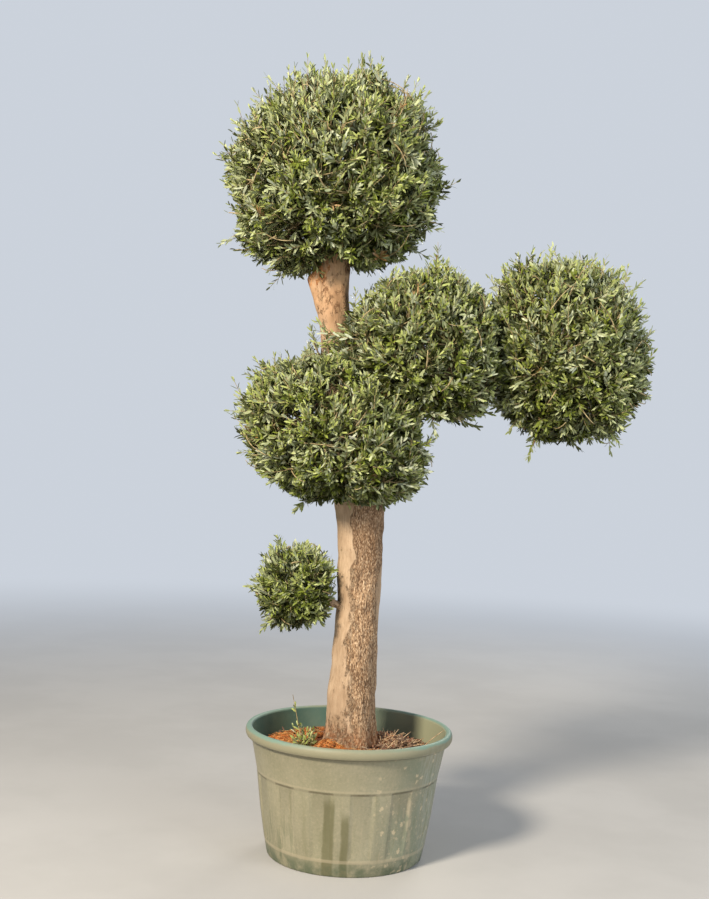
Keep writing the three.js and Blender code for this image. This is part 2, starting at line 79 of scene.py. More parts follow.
# Name, place, size, power and colour of each light
LIGHTS = [
    ("key_left", (-4.2, -6.0, 5.8), 1.6, 1250, (1.0, 0.90, 0.77)),
    ("fill_right", (5.0, -4.0, 3.0), 4.0, 200, (0.92, 0.95, 1.0)),
    ("back_rim", (2.5, 6.0, 5.0), 3.0, 220, (1.0, 0.95, 0.88)),
]

# Pot: rim, plain upper band, pressed panels and foot band
POT_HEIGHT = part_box("pot")[1].z
RIM_RADIUS = 0.450
RIM_BAND = 0.047
RIM_ROLL = 0.015
RIM_TURNS = [-72, -50, -28, -8, 12, 32, 52, 70, 90]
BAND_TOP = POT_HEIGHT - RIM_BAND
BAND_TOP_RADIUS = 0.424
STEP_RADIUS = 0.394
STEP_HEIGHT = 0.360
WAIST_RADIUS = 0.374
WAIST_HEIGHT = 0.200
FOOT_BAND_RADIUS = 0.349
FOOT_BAND_HEIGHT = 0.060
BASE_RADIUS = 0.337
WALL = 0.008
FLOOR = 0.012
POT_BEVEL = 0.0016
PANELS = 14
PANEL_DEPTH = 0.0055
PANEL_SLOPE = 0.012
PANEL_LEDGE = 0.014
PANELS_FOOT = FOOT_BAND_HEIGHT + PANEL_LEDGE
PANELS_TOP = STEP_HEIGHT - 0.004
# Steps of the lathe for each panel, and those of them that are pressed in
PANEL_COLUMNS = 10
RECESS_COLUMNS = 6
FIRST_PANEL = math.radians(-80)

# Soil: heaped to the trunk, a little lower at its right side
SOIL_UNDERSIDE = 0.30
SOIL_EDGE_HEIGHT = 0.442
SOIL_EDGE_TILT = 0.008
SOIL_MOUND_HEIGHT = 0.474
SOIL_SEAT_RADIUS = 0.172
SOIL_RINGS = 40
SOIL_STEPS = 180
# Litter piled up against the trunk's right side and its left front: middle, spread and height
SOIL_HEAPS = [(0.195, 0.045, 0.07, 0.028), (-0.085, -0.140, 0.055, 0.032)]
SOIL_REACH = 0.385

# Limbs: (x, y, z, radius) along each middle line, and how far each is out of round
LIMBS = {
    "trunk": [
        (0.006, 0.000, 0.448, 0.127), (0.006, 0.002, 0.560, 0.113), (0.007, 0.005, 0.750, 0.105),
        (0.014, 0.008, 1.087, 0.093), (0.009, 0.005, 1.310, 0.097), (0.002, 0.000, 1.488, 0.101),
        (-0.028, -0.004, 1.720, 0.098), (-0.092, -0.004, 1.980, 0.080), (-0.131, 0.000, 2.207, 0.069),
        (-0.150, 0.000, 2.408, 0.068), (-0.149, 0.000, 2.620, 0.067),
    ],
    "stub": [(-0.160, -0.012, 2.290, 0.044), (-0.196, -0.018, 2.400, 0.043), (-0.248, -0.024, 2.560, 0.042)],
    "right_bough": [
        (-0.010, -0.008, 1.760, 0.062), (0.110, -0.034, 1.915, 0.058), (0.235, -0.052, 2.070, 0.053),
        (0.430, -0.034, 2.152, 0.047), (0.650, -0.006, 2.192, 0.041),
    ],
    "low_bough": [
        (-0.040, -0.016, 1.066, 0.022), (-0.130, -0.024, 1.098, 0.017), (-0.200, -0.028, 1.130, 0.014),
    ],
}
FLUTES = {"trunk": 0.035, "stub": 0.02, "right_bough": 0.03, "low_bough": 0.02}
# Wave lengths of a limb's slow turning out of round, along its height
FLUTE_WAVES = (0.26, 0.19)
TRUNK_FOOT = 0.468
ROOT_LOBES = 5
ROOT_FLARE = 0.09
ROOT_FLARE_HEIGHT = 0.12
STUB_CUT_AT = np.array((-0.238, -0.024, 2.518))
STUB_CUT_NORMAL = np.array((-0.72, -0.12, 0.68))
STUB_REACH = 0.055
TRUNK_VOXEL = 0.0055
# Dark knots on the trunk's upper front: x, z and size
KNOTS = [
    (-0.187, 2.432, 0.028), (-0.172, 2.392, 0.020), (-0.129, 2.362, 0.022), (-0.198, 2.482, 0.020),
    (-0.094, 2.540, 0.022),
]
KNOT_HEIGHT = 1.4
BARK_STRETCH = 3.0

# Balls. outline: how far the ball reaches from its centre, seen from the front, at even steps round from
# the right and over the top. depth: its reach to the front and back. shell: where the leafy ends begin,
# as a share of the ball. arms: the main twigs. sprays: the leafy ends. stem: the bough that carries it, or
# around: the limb that it grows round. shoots: single long twigs, as azimuth and elevation in degrees and
# their reach as a share of the ball. scatter, hollow and wisps: how unevenly far the leafy ends reach, how
# closed the ball is and how wild, where a ball differs from the others.
BALLS = [
    {
        "name": "top", "centre": (-0.163, 0.0, 2.948), "depth": 0.450, "shell": 0.82,
        "outline": [0.480, 0.454, 0.486, 0.478, 0.452, 0.458, 0.454, 0.471,
                    0.480, 0.500, 0.530, 0.500, 0.432, 0.458, 0.484, 0.500],
        "arms": 35, "sprays": 3700, "hollow": -0.08, "seed": 11,
        "stem": [(-0.149, 0.0, 2.590, 0.060), (-0.165, 0.0, 2.900, 0.030)],
        "shoots": [
            (180, 82, 1.19), (3, 44, 1.17), (-12, 26, 1.14), (185, 24, 1.11),
            (178, -33, 1.18), (75, 12, 1.10), (-95, 8, 1.09),
        ],
    },
    {
        "name": "middle", "centre": (-0.118, -0.060, 1.835), "depth": 0.400, "shell": 0.80,
        "outline": [0.393, 0.404, 0.356, 0.334, 0.337, 0.371, 0.414, 0.440,
                    0.427, 0.408, 0.358, 0.343, 0.321, 0.358, 0.432, 0.464],
        "arms": 28, "sprays": 2650, "hollow": -0.12, "seed": 23, "around": "trunk",
        "shoots": [
            (183, 30, 1.10), (176, -16, 1.09), (-150, -38, 1.10), (-90, 2, 1.06),
            (-150, 72, 1.32), (-118, 75, 1.27), (-78, 72, 1.22), (-168, -66, 1.20),
        ],
    },
    {
        "name": "right_inner", "centre": (0.252, -0.110, 2.215), "depth": 0.330, "shell": 0.79,
        "outline": [0.333, 0.349, 0.342, 0.350, 0.342, 0.342, 0.361, 0.353,
                    0.331, 0.325, 0.329, 0.321, 0.325, 0.363, 0.412, 0.368],
        "arms": 20, "sprays": 1950, "seed": 37, "around": "right_bough",
        "shoots": [(-70, 78, 1.36), (-60, -74, 1.24), (-168, 16, 1.10)],
    },
    {
        "name": "right_outer", "centre": (0.882, 0.0, 2.221), "depth": 0.375, "shell": 0.80,
        "outline": [0.349, 0.334, 0.371, 0.416, 0.425, 0.450, 0.452, 0.396,
                    0.358, 0.380, 0.412, 0.419, 0.414, 0.445, 0.430, 0.384],
        "arms": 29, "sprays": 2650, "hollow": -0.12, "seed": 41,
        "stem": [(0.630, -0.008, 2.189, 0.036), (0.850, 0.0, 2.232, 0.018)],
        "shoots": [(-20, 45, 1.20), (-5, 4, 1.09), (-160, -70, 1.26), (-30, -58, 1.10), (120, 60, 1.06)],
    },
    {
        "name": "low", "centre": (-0.256, -0.034, 1.154), "depth": 0.180, "shell": 0.62,
        "outline": [0.184, 0.189, 0.197, 0.198, 0.196, 0.198, 0.197, 0.189,
                    0.184, 0.188, 0.194, 0.194, 0.190, 0.194, 0.194, 0.188],
        "arms": 10, "sprays": 620, "scatter": 0.10, "hollow": -0.05, "wisps": (0.14, 0.18), "seed": 53,
        "stem": [(-0.192, -0.027, 1.127, 0.011), (-0.250, -0.034, 1.146, 0.0055)],
        "shoots": [(150, 62, 1.32), (178, -4, 1.28), (-160, -52, 1.36)],
    },
]
BALL_POWER = 2.25
# How near a ball's boughs and its leafy ends come to the middle between two balls
BOUGH_BORDER = 0.02
LEAF_BORDER = -0.14
LIMB_MARGIN = 0.008
GOLDEN_ANGLE = math.pi * (3 - math.sqrt(5))
# The source's own dice, that lay out the main twigs
DICE_FACTOR, DICE_STEP, DICE_RANGE = 1664525, 1013904223, 4294967296

# Twigs as tubes: girths at foot and tip, sides and rings
ARM_TUBE = ((0.0085, 0.0032), 6, 7)
SIDE_TWIG_TUBE = ((0.0045, 0.0024), 4, 4)
SPRAY_TUBE = ((0.0021, 0.0011), 3, 3)
DEEP_TUBE = ((0.0021, 0.0011), 3, 2)
SHOOT_TUBE = ((0.0024, 0.0009), 3, 6)
LOOSE_TUBE = ((0.0030, 0.0016), 4, 6)
SPRIG_TUBE = ((0.0024, 0.0009), 3, 5)
SUCKER_TUBE = ((0.003, 0.0012), 5, 6)
LEANING_TUBE = ((0.0022, 0.0013), 3, 5)
STEM_SIDES = 16
# Where the leaves on each kind of twig begin, as a share of its length, and their pairs
SPRAY_LEAVES = (0.28, 6)
SHOOT_LEAVES = (0.2, 11)
SIDE_TWIG_LEAVES = (0.5, 2)
DEEP_LEAVES = (0.1, 5)
SPRIG_LEAVES = (0.15, 7)
LAST_PAIR = 0.985

SIDE_TWIGS_PER_ARM = 7
TWIG_ARCH = 0.10
SHOOT_ARCH = 0.03
# Leaves at life size: how far they stand off the twig at its foot and tip, in degrees, their chance turn,
# fold at the midrib and curl, and how much the width varies
LEAF_LENGTH = 0.043
LEAF_WIDTH = 0.26
LEAF_ANGLES = (57.0, 20.0)
LEAF_ANGLE_CHANCE = 10
LEAF_ROLL = 22
LEAF_FOLD = 0.35
LEAF_CURL = 0.10
WIDTH_RANGE = (0.85, 1.15)
DEEP_LEAF_SIZE = 1.15
DEEP_LEAF_WIDTH = 0.28
# Share of the inner leaves in the darkest kind: older leaves, and painted shade inside the ball
DEEP_LEAF_SHADED = 0.93
LEAVES_PER_PIECE = 45000
# Shares of a ball: what its arms reach at most, where its sprays end, and the furthest tips
ARM_LIMIT = 1.05
LONG_SHOOT = 1.09
SPRAY_LIMIT = 1.06
WISP_REACH = (1.05, 1.17)
BALL_SPACE = 1.14
# Mean reach and scatter of the outer sprays and of the deep ones, as shares of the ball, and how many deep
# sprays there are for each outer one
OUTER_REACH = 0.955
SCATTER = 0.040
DEEP_REACH = 0.83
DEEP_SCATTER = 0.03
DEEP_SHARE = 0.6
# The part of its last leaf that a tip is drawn back by
TIP_LEAF = 0.75
# How far a spray's foot lies aside of its tip by chance, and below it
SPRAY_LEAN = 0.045
SPRAY_RISE = 0.035
# Chances of a long wild spray in the lower half of a ball, and more in its upper half
WISPS = (0.016, 0.105)
# Bare twigs along the outside: how many for each arm, how far they turn, and the shares of the ball that
# their feet, middles and tips reach
LOOSE_SHARE = 1.2
LOOSE_TURN = 0.22
LOOSE_REACHES = (0.90, 1.0, 0.985)
LOOSE_SEED = 900
# Growth under this is a hollow, where this share of the sprays is kept
HOLLOW = -0.18
HOLLOW_KEPT = 0.20
# Kinds of leaf, as places in the list of their materials
FRESH, GREEN, GREY, DEEP, RUSTY = range(5)
RUSTY_CHANCE = 0.004

# Sprigs that reach out of the inner right ball and cross in front of the upper trunk: where they start, and
# the lowest and highest corner of the space that their tips are in
SPRIGS = 38
SPRIG_SEED = 97
SPRIG_FOOT = (0.02, -0.165, 2.165)
SPRIG_FOOT_CHANCE = 0.04
SPRIG_SPACE = ((-0.240, -0.205, 2.100), (-0.030, -0.115, 2.290))
SPRIG_ARCH = 0.05

# Sucker beside the trunk, with the height and lean of its short shoots
SUCKER_FOOT = (-0.190, -0.142, 0.455)
SUCKER_TIP = (-0.246, -0.152, 0.705)
SUCKER_SEED = 71
SUCKER_SHORTS = 18
SHORT_RISE = (0.050, 0.115)
SHORT_LEAN = (0.014, 0.068)
SUCKER_PAIRS = [0.24, 0.40, 0.46, 0.70, 0.76]
SHORT_PAIRS = [0.25, 0.5, 0.75, 0.98]
SUCKER_LEAF = 0.034
SUCKER_LEAF_WIDTH = 0.33
SUCKER_CURL = 0.08

# Litter on the soil. Beds: the middle and spread over the soil, and the count.
LITTER_SEED = 83
LITTER_CLEAR = 0.142
LITTER_LIFT = 0.014
LEANING_SEED = 89
LEANING_BED = ((0.20, -0.02), (0.07, 0.12))
LEANING_STRAWS = 60
LEANING_RISE = (0.012, -0.004, 0.034)
LEANING_CHANCE = (0.026, 0.026, 0.008)
LEANING_ARCH = -0.08
RIM_STRAW = ((0.295, -0.012, 0.444), (0.414, -0.010, 0.551))
DRY_LEAF_BEDS = [
    ((0.22, -0.06), (0.10, 0.16), 700),
    ((-0.15, 0.05), (0.16, 0.20), 40),
    ((0.0, 0.24), (0.20, 0.10), 160),
]
DRY_LEAF = 0.030
DRY_LEAF_WIDTH = 0.34
DRY_LEAF_FOLD = 0.6
DRY_LEAF_CURL = 0.25


def unit(vectors):
    return vectors / np.linalg.norm(vectors, axis=-1, keepdims=True)


def mix(start, end, share):
    return start + (end - start) * share


def steady(value, low, high):
    """0 below low, 1 above high, and a smooth rise between them."""
    share = np.clip((value - low) / (high - low), 0, 1)
    return share * share * (3 - 2 * share)


def dice(seed):
    """The source's own chance numbers, from 0 to 1."""
    state = seed
    while True:
        state = (state * DICE_FACTOR + DICE_STEP) % DICE_RANGE
        yield state / DICE_RANGE


# Shader nodes
class Field:
    """An output in a shader's node tree that can be reckoned with like a number."""

    def __init__(self, socket):
        self.socket = socket
        self.tree = socket.id_data

    def __add__(self, other):
        return calculate("ADD", self, other)

    def __sub__(self, other):
        return calculate("SUBTRACT", self, other)

    def __rsub__(self, other):
        return calculate("SUBTRACT", other, self)

    def __mul__(self, other):
        return calculate("MULTIPLY", self, other)

    def __abs__(self):
        return calculate("ABSOLUTE", self)


def paint(red, green, blue):
    """A colour as it looks on a screen, 0 to 255, as the shader's linear one."""
    linear = [((value / 255 + 0.055) / 1.055) ** 2.4 for value in (red, green, blue)]
    return (*linear, 1.0)


def darker(colour, share):
    return tuple(share * value for value in colour[:3]) + (1.0,)


def put(tree, kind, settings=None, inputs=None, output=0):
    """Adds a node, sets its options, sets or links its inputs, and gives one of its outputs."""
    made = tree.nodes.new(kind)
    for key, value in (settings or {}).items():
        setattr(made, key, value)
    for key, value in (inputs or {}).items():
        if isinstance(value, Field):
            tree.links.new(value.socket, made.inputs[key])
        else:
            made.inputs[key].default_value = value
    return Field(made.outputs[output])


def attach(shader, fields):
    """Links fields to a shader's inputs."""
    for name, field in fields.items():
        field.tree.links.new(field.socket, shader.inputs[name])


def calculate(operation, first, second=0.0):
    tree = (first if isinstance(first, Field) else second).tree
    return put(tree, "ShaderNodeMath", {"operation": operation}, {0: first, 1: second})


def blend(share, first, second):
    return put(share.tree, "ShaderNodeMix", {"data_type": "RGBA"}, {0: share, 6: first, 7: second}, 2)


def coated(colour, coats):
    """A colour under coats that are laid on one by one, each a share and a colour."""
    for share, coat in coats:
        colour = blend(share, colour, coat)
    return colour


def rise(value, low, high):
    """A value turned into 0 below low and 1 above high."""
    inputs = {"Value": value, "From Min": low, "From Max": high}
    return put(value.tree, "ShaderNodeMapRange", {"interpolation_type": "SMOOTHSTEP"}, inputs)


def nearby(value, middle, half, soft):
    """1 where a value lies within half of a middle, fading out over soft."""
    return 1 - rise(abs(value - middle), half, half + soft)


def mix_range(share, first, second):
    """A share from 0 to 1 as a value between two others."""
    return put(share.tree, "ShaderNodeMapRange", None, {"Value": share, "To Min": first, "To Max": second})


def noise(place, scale, detail=4.0, roughness=0.55):
    inputs = {"Vector": place, "Scale": scale, "Detail": detail, "Roughness": roughness}
    return put(place.tree, "ShaderNodeTexNoise", None, inputs)


def bumped(height):
    return put(height.tree, "ShaderNodeBump", None, {"Strength": 1.0, "Distance": 1.0, "Height": height})


def attribute(tree, name):
    return put(tree, "ShaderNodeAttribute", {"attribute_name": name}, output="Fac")


def object_place(tree, upward=1.0):
    """Object coordinates, with patterns drawn out in height where upward is under 1."""
    place = put(tree, "ShaderNodeTexCoord", output="Object")
    return put(tree, "ShaderNodeMapping", None, {"Vector": place, "Scale": (1, 1, upward)})


def split(place):
    """The X, Y and Z of a place."""
    return [put(place.tree, "ShaderNodeSeparateXYZ", None, {0: place}, axis) for axis in "XYZ"]


def new_material(name, roughness, gloss=0.5):
    """A material with its node tree and its plain shader."""
    material = bpy.data.materials.new(name)
    material.use_nodes = True
    shader = material.node_tree.nodes["Principled BSDF"]
    shader.inputs["Roughness"].default_value = roughness
    shader.inputs["Specular IOR Level"].default_value = gloss
    return material, material.node_tree, shader


def new_group(name, inputs, output):
    """A node group with its given fields and the input that takes its result."""
    tree = bpy.data.node_groups.new(name, "ShaderNodeTree")
    for label, kind in inputs:
        tree.interface.new_socket(label, in_out="INPUT", socket_type="NodeSocket" + kind)
    tree.interface.new_socket(output, in_out="OUTPUT", socket_type="NodeSocket" + output)
    given = tree.nodes.new("NodeGroupInput").outputs
    result = tree.nodes.new("NodeGroupOutput").inputs[0]
    return tree, [Field(given[label]) for label, _ in inputs], result


def mottle_group():
    """Two colours in soft clouds: used on every finish of the plant and its pot."""
    tree, (place, scale, balance, softness, first, second), result = new_group("mottle", [
        ("Place", "Vector"), ("Scale", "Float"), ("Balance", "Float"), ("Softness", "Float"),
        ("First", "Color"), ("Second", "Color")], "Color")
    mask = rise(noise(place, scale, 5.0, 0.6), balance - softness, balance + softness)
    tree.links.new(blend(mask, first, second).socket, result)
    return tree


def grain_group():
    """A fine uneven skin, as a normal."""
    tree, (place, scale, depth), result = new_group("grain", [
        ("Place", "Vector"), ("Scale", "Float"), ("Depth", "Float")], "Vector")
    tree.links.new(bumped(noise(place, scale, 6.0, 0.65) * depth).socket, result)
    return tree


MOTTLE = mottle_group()
GRAIN = grain_group()


def mottled(place, scale, first, second, balance=0.5, softness=0.12):
    inputs = {"Place": place, "Scale": scale, "Balance": balance, "Softness": softness,
              "First": first, "Second": second}
    return put(place.tree, "ShaderNodeGroup", {"node_tree": MOTTLE}, inputs)


def grained(place, scale, depth):
    inputs = {"Place": place, "Scale": scale, "Depth": depth}
    return put(place.tree, "ShaderNodeGroup", {"node_tree": GRAIN}, inputs)


def leaf_material(name, top, under, vein):
    """A leathery leaf: mottled green above with a pale midrib, silvery grey beneath."""
    material, tree, shader = new_material(name, 0.4)
    place = object_place(tree)
    rib = (1 - rise(attribute(tree, "across"), 0.04, 0.16)) * 0.5
    upper = blend(rib, mottled(place, 38.0, darker(top, 0.72), top, 0.46, 0.16), vein)
    lower = mottled(place, 60.0, under, darker(under, 0.85))
    behind = put(tree, "ShaderNodeNewGeometry", output="Backfacing")
    attach(shader, {"Base Color": blend(behind, upper, lower), "Roughness": mix_range(behind, 0.44, 0.68)})
    return material


def skin_material(name, finish, scale, colours, clouds=(0.5, 0.2), grain=None, upward=1.0):
    """A dull skin in two mottled colours, with its grain if it has one."""
    material, tree, shader = new_material(name, *finish)
    place = object_place(tree, upward)
    attach(shader, {"Base Color": mottled(place, scale, *colours, *clouds)})
    if grain:
        attach(shader, {"Normal": grained(place, *grain)})
    return material


SMOOTH_BARK = (paint(160, 134, 106), paint(190, 164, 134), paint(142, 116, 88))
ROUGH_BARK = (paint(150, 118, 86), paint(184, 151, 116), paint(228, 200, 164), paint(66, 42, 26))
UPPER_BARK = (paint(178, 130, 88), paint(202, 158, 114))
CUT_WOOD = (paint(172, 108, 62), paint(206, 150, 98))
KNOT_BARK = paint(104, 72, 46)
FOOT_STAIN = paint(150, 90, 48)


def bark_material():
    """Smooth tan wood where the rough attribute is 0, finely broken brown bark where it is 1."""
    material, tree, shader = new_material("olive_bark", 0.85, 0.2)
    place, tall = object_place(tree), object_place(tree, 0.42)
    side, _, height = split(place)
    rough, cut, knot, stem = (attribute(tree, name) for name in ("rough", "cut", "knot", "stem"))
    patches = noise(tall, 60.0, 5.0, 0.7) - 0.5
    fibres = noise(object_place(tree, 0.1), 110.0, 4.0, 0.6)
    grit = noise(object_place(tree, 0.40), 225.0, 2.0, 0.6)
    furrows = noise(object_place(tree, 0.16), 120.0, 3.0, 0.6)
    broken_share = rise(rough + patches * 2.4, 0.24, 0.76)
    smooth = coated(mottled(tall, 18.0, SMOOTH_BARK[0], SMOOTH_BARK[1], 0.5, 0.2), [
        (rise(fibres, 0.46, 0.68) * 0.45, SMOOTH_BARK[2]),
        (rise(noise(tall, 150.0, 2.0, 0.5), 0.60, 0.70) * 0.35, ROUGH_BARK[0]),
    ])
    broken = coated(mottled(tall, 24.0, ROUGH_BARK[0], ROUGH_BARK[1], 0.5, 0.22), [
        (rise(grit, 0.54, 0.66) * 0.8, ROUGH_BARK[2]),
        ((1 - rise(grit, 0.37, 0.50)) * 0.7, ROUGH_BARK[3]),
        ((1 - rise(furrows, 0.38, 0.47)) * 0.6, ROUGH_BARK[3]),
        (rise(height, 1.12, 1.36) * 0.4, ROUGH_BARK[3]),
    ])
    cracked = knot * rise(noise(tall, 85.0, 4.0, 0.7), 0.44, 0.56)
    stain = (1 - rise(height, 0.48, 0.60)) * rise(noise(place, 45.0, 4.0), 0.38, 0.56)
    wood = coated(smooth, [
        (broken_share, broken),
        (rise(height, 2.1, 2.4) * 0.5 * stem, mottled(tall, 22.0, *UPPER_BARK)),
        (rise(cut + patches * 1.6, 0.4, 0.6), mottled(place, 60.0, *CUT_WOOD)),
        (cracked * 0.85, KNOT_BARK),
        (stain * mix_range(rise(side, -0.10, 0.0), 0.95, 0.5), FOOT_STAIN),
    ])
    relief = grit * broken_share * 0.005 + furrows * broken_share * 0.008 + fibres * 0.002
    attach(shader, {"Base Color": wood, "Normal": bumped(relief)})
    return material


# Finishes of the pot
POT = {
    "sage": paint(134, 130, 104),
    "pale_sage": paint(150, 144, 120),
    "green": paint(122, 132, 112),
    "olive": paint(112, 112, 80),
    "drip": paint(92, 90, 58),
    "damp": paint(66, 84, 62),
    # Lime deposits, and also the painted highlight on the step's rounded edge
    "lime_and_highlight": paint(178, 164, 136),
    "fleck": paint(190, 174, 142),
    "chalk": paint(166, 168, 158),
    # Painted shade: the dark lines under the step and under the rim
    "painted_shade_line": paint(66, 58, 40),
    # Painted reflection of the sky on the rim's top
    "teal_sky_reflection": paint(116, 140, 124),
    # The inside wall: painted shade, darkest at its left, and painted light at its right
    "teal_painted_shade": paint(70, 96, 82),
    "lining": paint(92, 110, 92),
    "lining_painted_light": paint(152, 150, 120),
}
# Dark drips on the front: middle and half-width across it, and the height that they start from
DRIPS = [(-0.070, 0.017, 0.352), (-0.001, 0.010, 0.290)]
LIME_STRIPE = 0.262


def pot_material():
    """Weathered sage plastic: green to the right, dark drips at front, limescale at right, painted blue-green
    sky reflection on the rim.
    """
    material, tree, shader = new_material("weathered_sage_plastic", 0.5, 0.35)
    place = object_place(tree)
    side, depth, height = split(place)
    angle = calculate("ARCTAN2", depth, side)
    unrolled = put(tree, "ShaderNodeCombineXYZ", None, {0: angle, 1: height * 0.25})
    front = rise(depth * -1, 0.05, 0.15)
    low_wall = 1 - rise(height, STEP_HEIGHT - 0.012, STEP_HEIGHT - 0.006)
    wobble = (noise(place, 9.0) - 0.5) * 0.02
    waved = side + wobble
    streaks = rise(noise(unrolled, 15.0, 4.0, 0.6), 0.50, 0.74)
    dust = noise(place, 95.0, 3.0, 0.7)
    limed = rise(side, 0.09, 0.2) * low_wall * front
    stripe = nearby(waved, LIME_STRIPE, 0.004, 0.012) * limed
    blots = put(tree, "ShaderNodeTexVoronoi", None, {"Vector": place, "Scale": 22.0}, "Distance")
    flecks = 1 - rise(blots + noise(place, 80.0) * 0.6, 0.45, 0.54)
    flecks = flecks * rise(noise(place, 11.0), 0.40, 0.54) * rise(side, 0.05, 0.17) * front
    # Painted shade under the step, deeper over each panel
    panel = (angle - FIRST_PANEL) * (PANELS / (2 * math.pi))
    over_panel = 1 - rise(abs(calculate("FRACT", panel + 0.5) - 0.5), 0.27, 0.33)
    uneven = mix_range(noise(unrolled, 9.0, 3.0), 0.3, 1.3)
    step_shade = (over_panel * 0.4 + 0.3) * uneven
    drips = [(nearby(waved, middle, half, 0.012) * (1 - rise(height, top - 0.06, top)) * front * 0.7,
              POT["drip"]) for middle, half, top in DRIPS]
    # Painted shade and light on the inside wall: dark at the left, lighter at the right where the light falls
    lining = blend(rise(side, 0.05, 0.3) * 0.8,
                   mottled(place, 6.0, POT["teal_painted_shade"], POT["lining"], 0.5, 0.2), POT["lining_painted_light"])
    colour = coated(mottled(place, 3.0, POT["sage"], POT["pale_sage"], 0.5, 0.25), [
        (rise(side, 0.02, 0.30) * rise(noise(place, 5.0), 0.25, 0.7) * 0.75, POT["green"]),
        (streaks * low_wall * 0.45, POT["olive"]),
        (rise(noise(unrolled, 24.0, 3.0, 0.6), 0.58, 0.76) * low_wall * 0.3, POT["lime_and_highlight"]),
        (rise(dust, 0.50, 0.70) * 0.24, POT["lime_and_highlight"]),
        ((1 - rise(dust, 0.32, 0.48)) * 0.24, POT["olive"]),
        *drips,
        ((1 - rise(side, -0.26, -0.17)) * (1 - rise(height, 0.10, 0.26)) * streaks * 0.6, POT["damp"]),
        ((1 - rise(height, 0.02, 0.085)) * rise(noise(place, 14.0), 0.35, 0.6) * 0.7, POT["damp"]),
        (nearby(height, FOOT_BAND_HEIGHT + PANEL_LEDGE / 2, 0.004, 0.006) * 0.4, POT["lime_and_highlight"]),
        (rise(noise(place, 55.0, 2.0, 0.5), 0.60, 0.70) * limed * 0.6, POT["lime_and_highlight"]),
        (flecks * 0.85, POT["fleck"]),
        (stripe * rise(noise(place, 30.0, 3.0), 0.35, 0.60) * 0.6, POT["lime_and_highlight"]),
        (rise(side, 0.28, 0.34) * rise(noise(unrolled, 34.0, 4.0, 0.7), 0.4, 0.62) * 0.5, POT["chalk"]),
        # Painted shadow along the underside of the step
        (nearby(height, STEP_HEIGHT - 0.006, 0.002, 0.006) * step_shade, POT["painted_shade_line"]),
        # Painted highlight: a pale line along the step's rounded edge
        (nearby(height, STEP_HEIGHT + 0.005, 0.002, 0.005) * uneven * 0.3, POT["lime_and_highlight"]),
        # Painted shadow along the underside of the rim
        (nearby(height, BAND_TOP + 0.001, 0.002, 0.004) * 0.55, POT["painted_shade_line"]),
        (rise(height, BAND_TOP + 0.004, BAND_TOP + 0.012) * 0.8, POT["sage"]),
        # Painted sky reflection: blue-green along the rim's top, strongest at the sides
        (rise(height + wobble, POT_HEIGHT - 0.016, POT_HEIGHT - 0.003) * (rise(abs(side), 0.1, 0.4) + 0.3),
         POT["teal_sky_reflection"]),
        (attribute(tree, "inside"), lining),
    ])
    attach(shader, {"Base Color": colour, "Roughness": mix_range(noise(place, 40.0), 0.42, 0.66),
                    "Normal": grained(place, 240.0, 0.0005)})
    return material


# Pieces
def select_only(*pieces):
    """Selects pieces and makes the first of them the active one."""
    for shown in bpy.context.view_layer.objects:
        shown.select_set(shown in pieces)
    bpy.context.view_layer.objects.active = pieces[0]


def primitive(name, add, **options):
    """Adds a primitive in object mode under its own name."""
    bpy.context.tool_settings.mesh_select_mode = (True, False, False)
    add(**options)
    made = bpy.context.view_layer.objects.active
    made.name = made.data.name = name
    select_only(made)
    return made


def apply_modifier(piece, kind, **options):
    select_only(piece)
    modifier = piece.modifiers.new(kind.lower(), kind)
    for key, value in options.items():
        setattr(modifier, key, value)
    bpy.ops.object.modifier_apply(modifier=modifier.name)


def edit_whole(operator, **options):
    """Runs an operator in edit mode on all of the active piece."""
    bpy.ops.object.mode_set(mode="EDIT")
    bpy.ops.mesh.select_all(action="SELECT")
    operator(**options)
    bpy.ops.object.mode_set(mode="OBJECT")


def displace(piece, name, grain, detail, **options):
    """Raises a piece's surface by a cloud texture."""
    clouds = bpy.data.textures.new(name, "CLOUDS")
    clouds.noise_scale = grain
    clouds.noise_depth = detail
    apply_modifier(piece, "DISPLACE", texture=clouds, **options)


def corners_of(piece):
    places = np.empty(len(piece.data.vertices) * 3)
    piece.data.vertices.foreach_get("co", places)
    return places.reshape(-1, 3)


def set_corners(piece, places):
    piece.data.vertices.foreach_set("co", np.asarray(places, np.float32).ravel())
    piece.data.update()


def set_value(piece, name, values):
    values = np.asarray(values, np.float32)
    piece.data.attributes.new(name, "FLOAT", "POINT").data.foreach_set("value", values)


def finish_piece(piece, materials, node):
    for material in materials:
        piece.data.materials.append(material)
    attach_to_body(piece, "root")
    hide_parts(node)


def joined_mesh(name, corners, triangles, kinds=None, across=None):
    """Many small shapes as one mesh, from arrays of corners and triangles."""
    mesh = bpy.data.meshes.new(name)
    mesh.vertices.add(len(corners))
    mesh.vertices.foreach_set("co", np.asarray(corners, np.float32).ravel())
    mesh.loops.add(triangles.size)
    mesh.loops.foreach_set("vertex_index", np.asarray(triangles, np.int32).ravel())
    mesh.polygons.add(len(triangles))
    mesh.polygons.foreach_set("loop_start", np.arange(0, triangles.size, 3, dtype=np.int32))
    if kinds is not None:
        mesh.polygons.foreach_set("material_index", np.asarray(kinds, np.int32))
    mesh.update(calc_edges=True)
    piece = bpy.data.objects.new(name, mesh)
    bpy.context.scene.collection.objects.link(piece)
    if across is not None:
        set_value(piece, "across", across)
    return piece


def stacked_piece(name, parts, material, node):
    """Pairs of corners and triangles as one finished piece."""
    corners, triangles, start = [], [], 0
    for places, faces in parts:
        corners.append(places)
        triangles.append(faces + start)
        start += len(places)
    piece = joined_mesh(name, np.vstack(corners), np.vstack(triangles))
    finish_piece(piece, [material], node)
    return piece


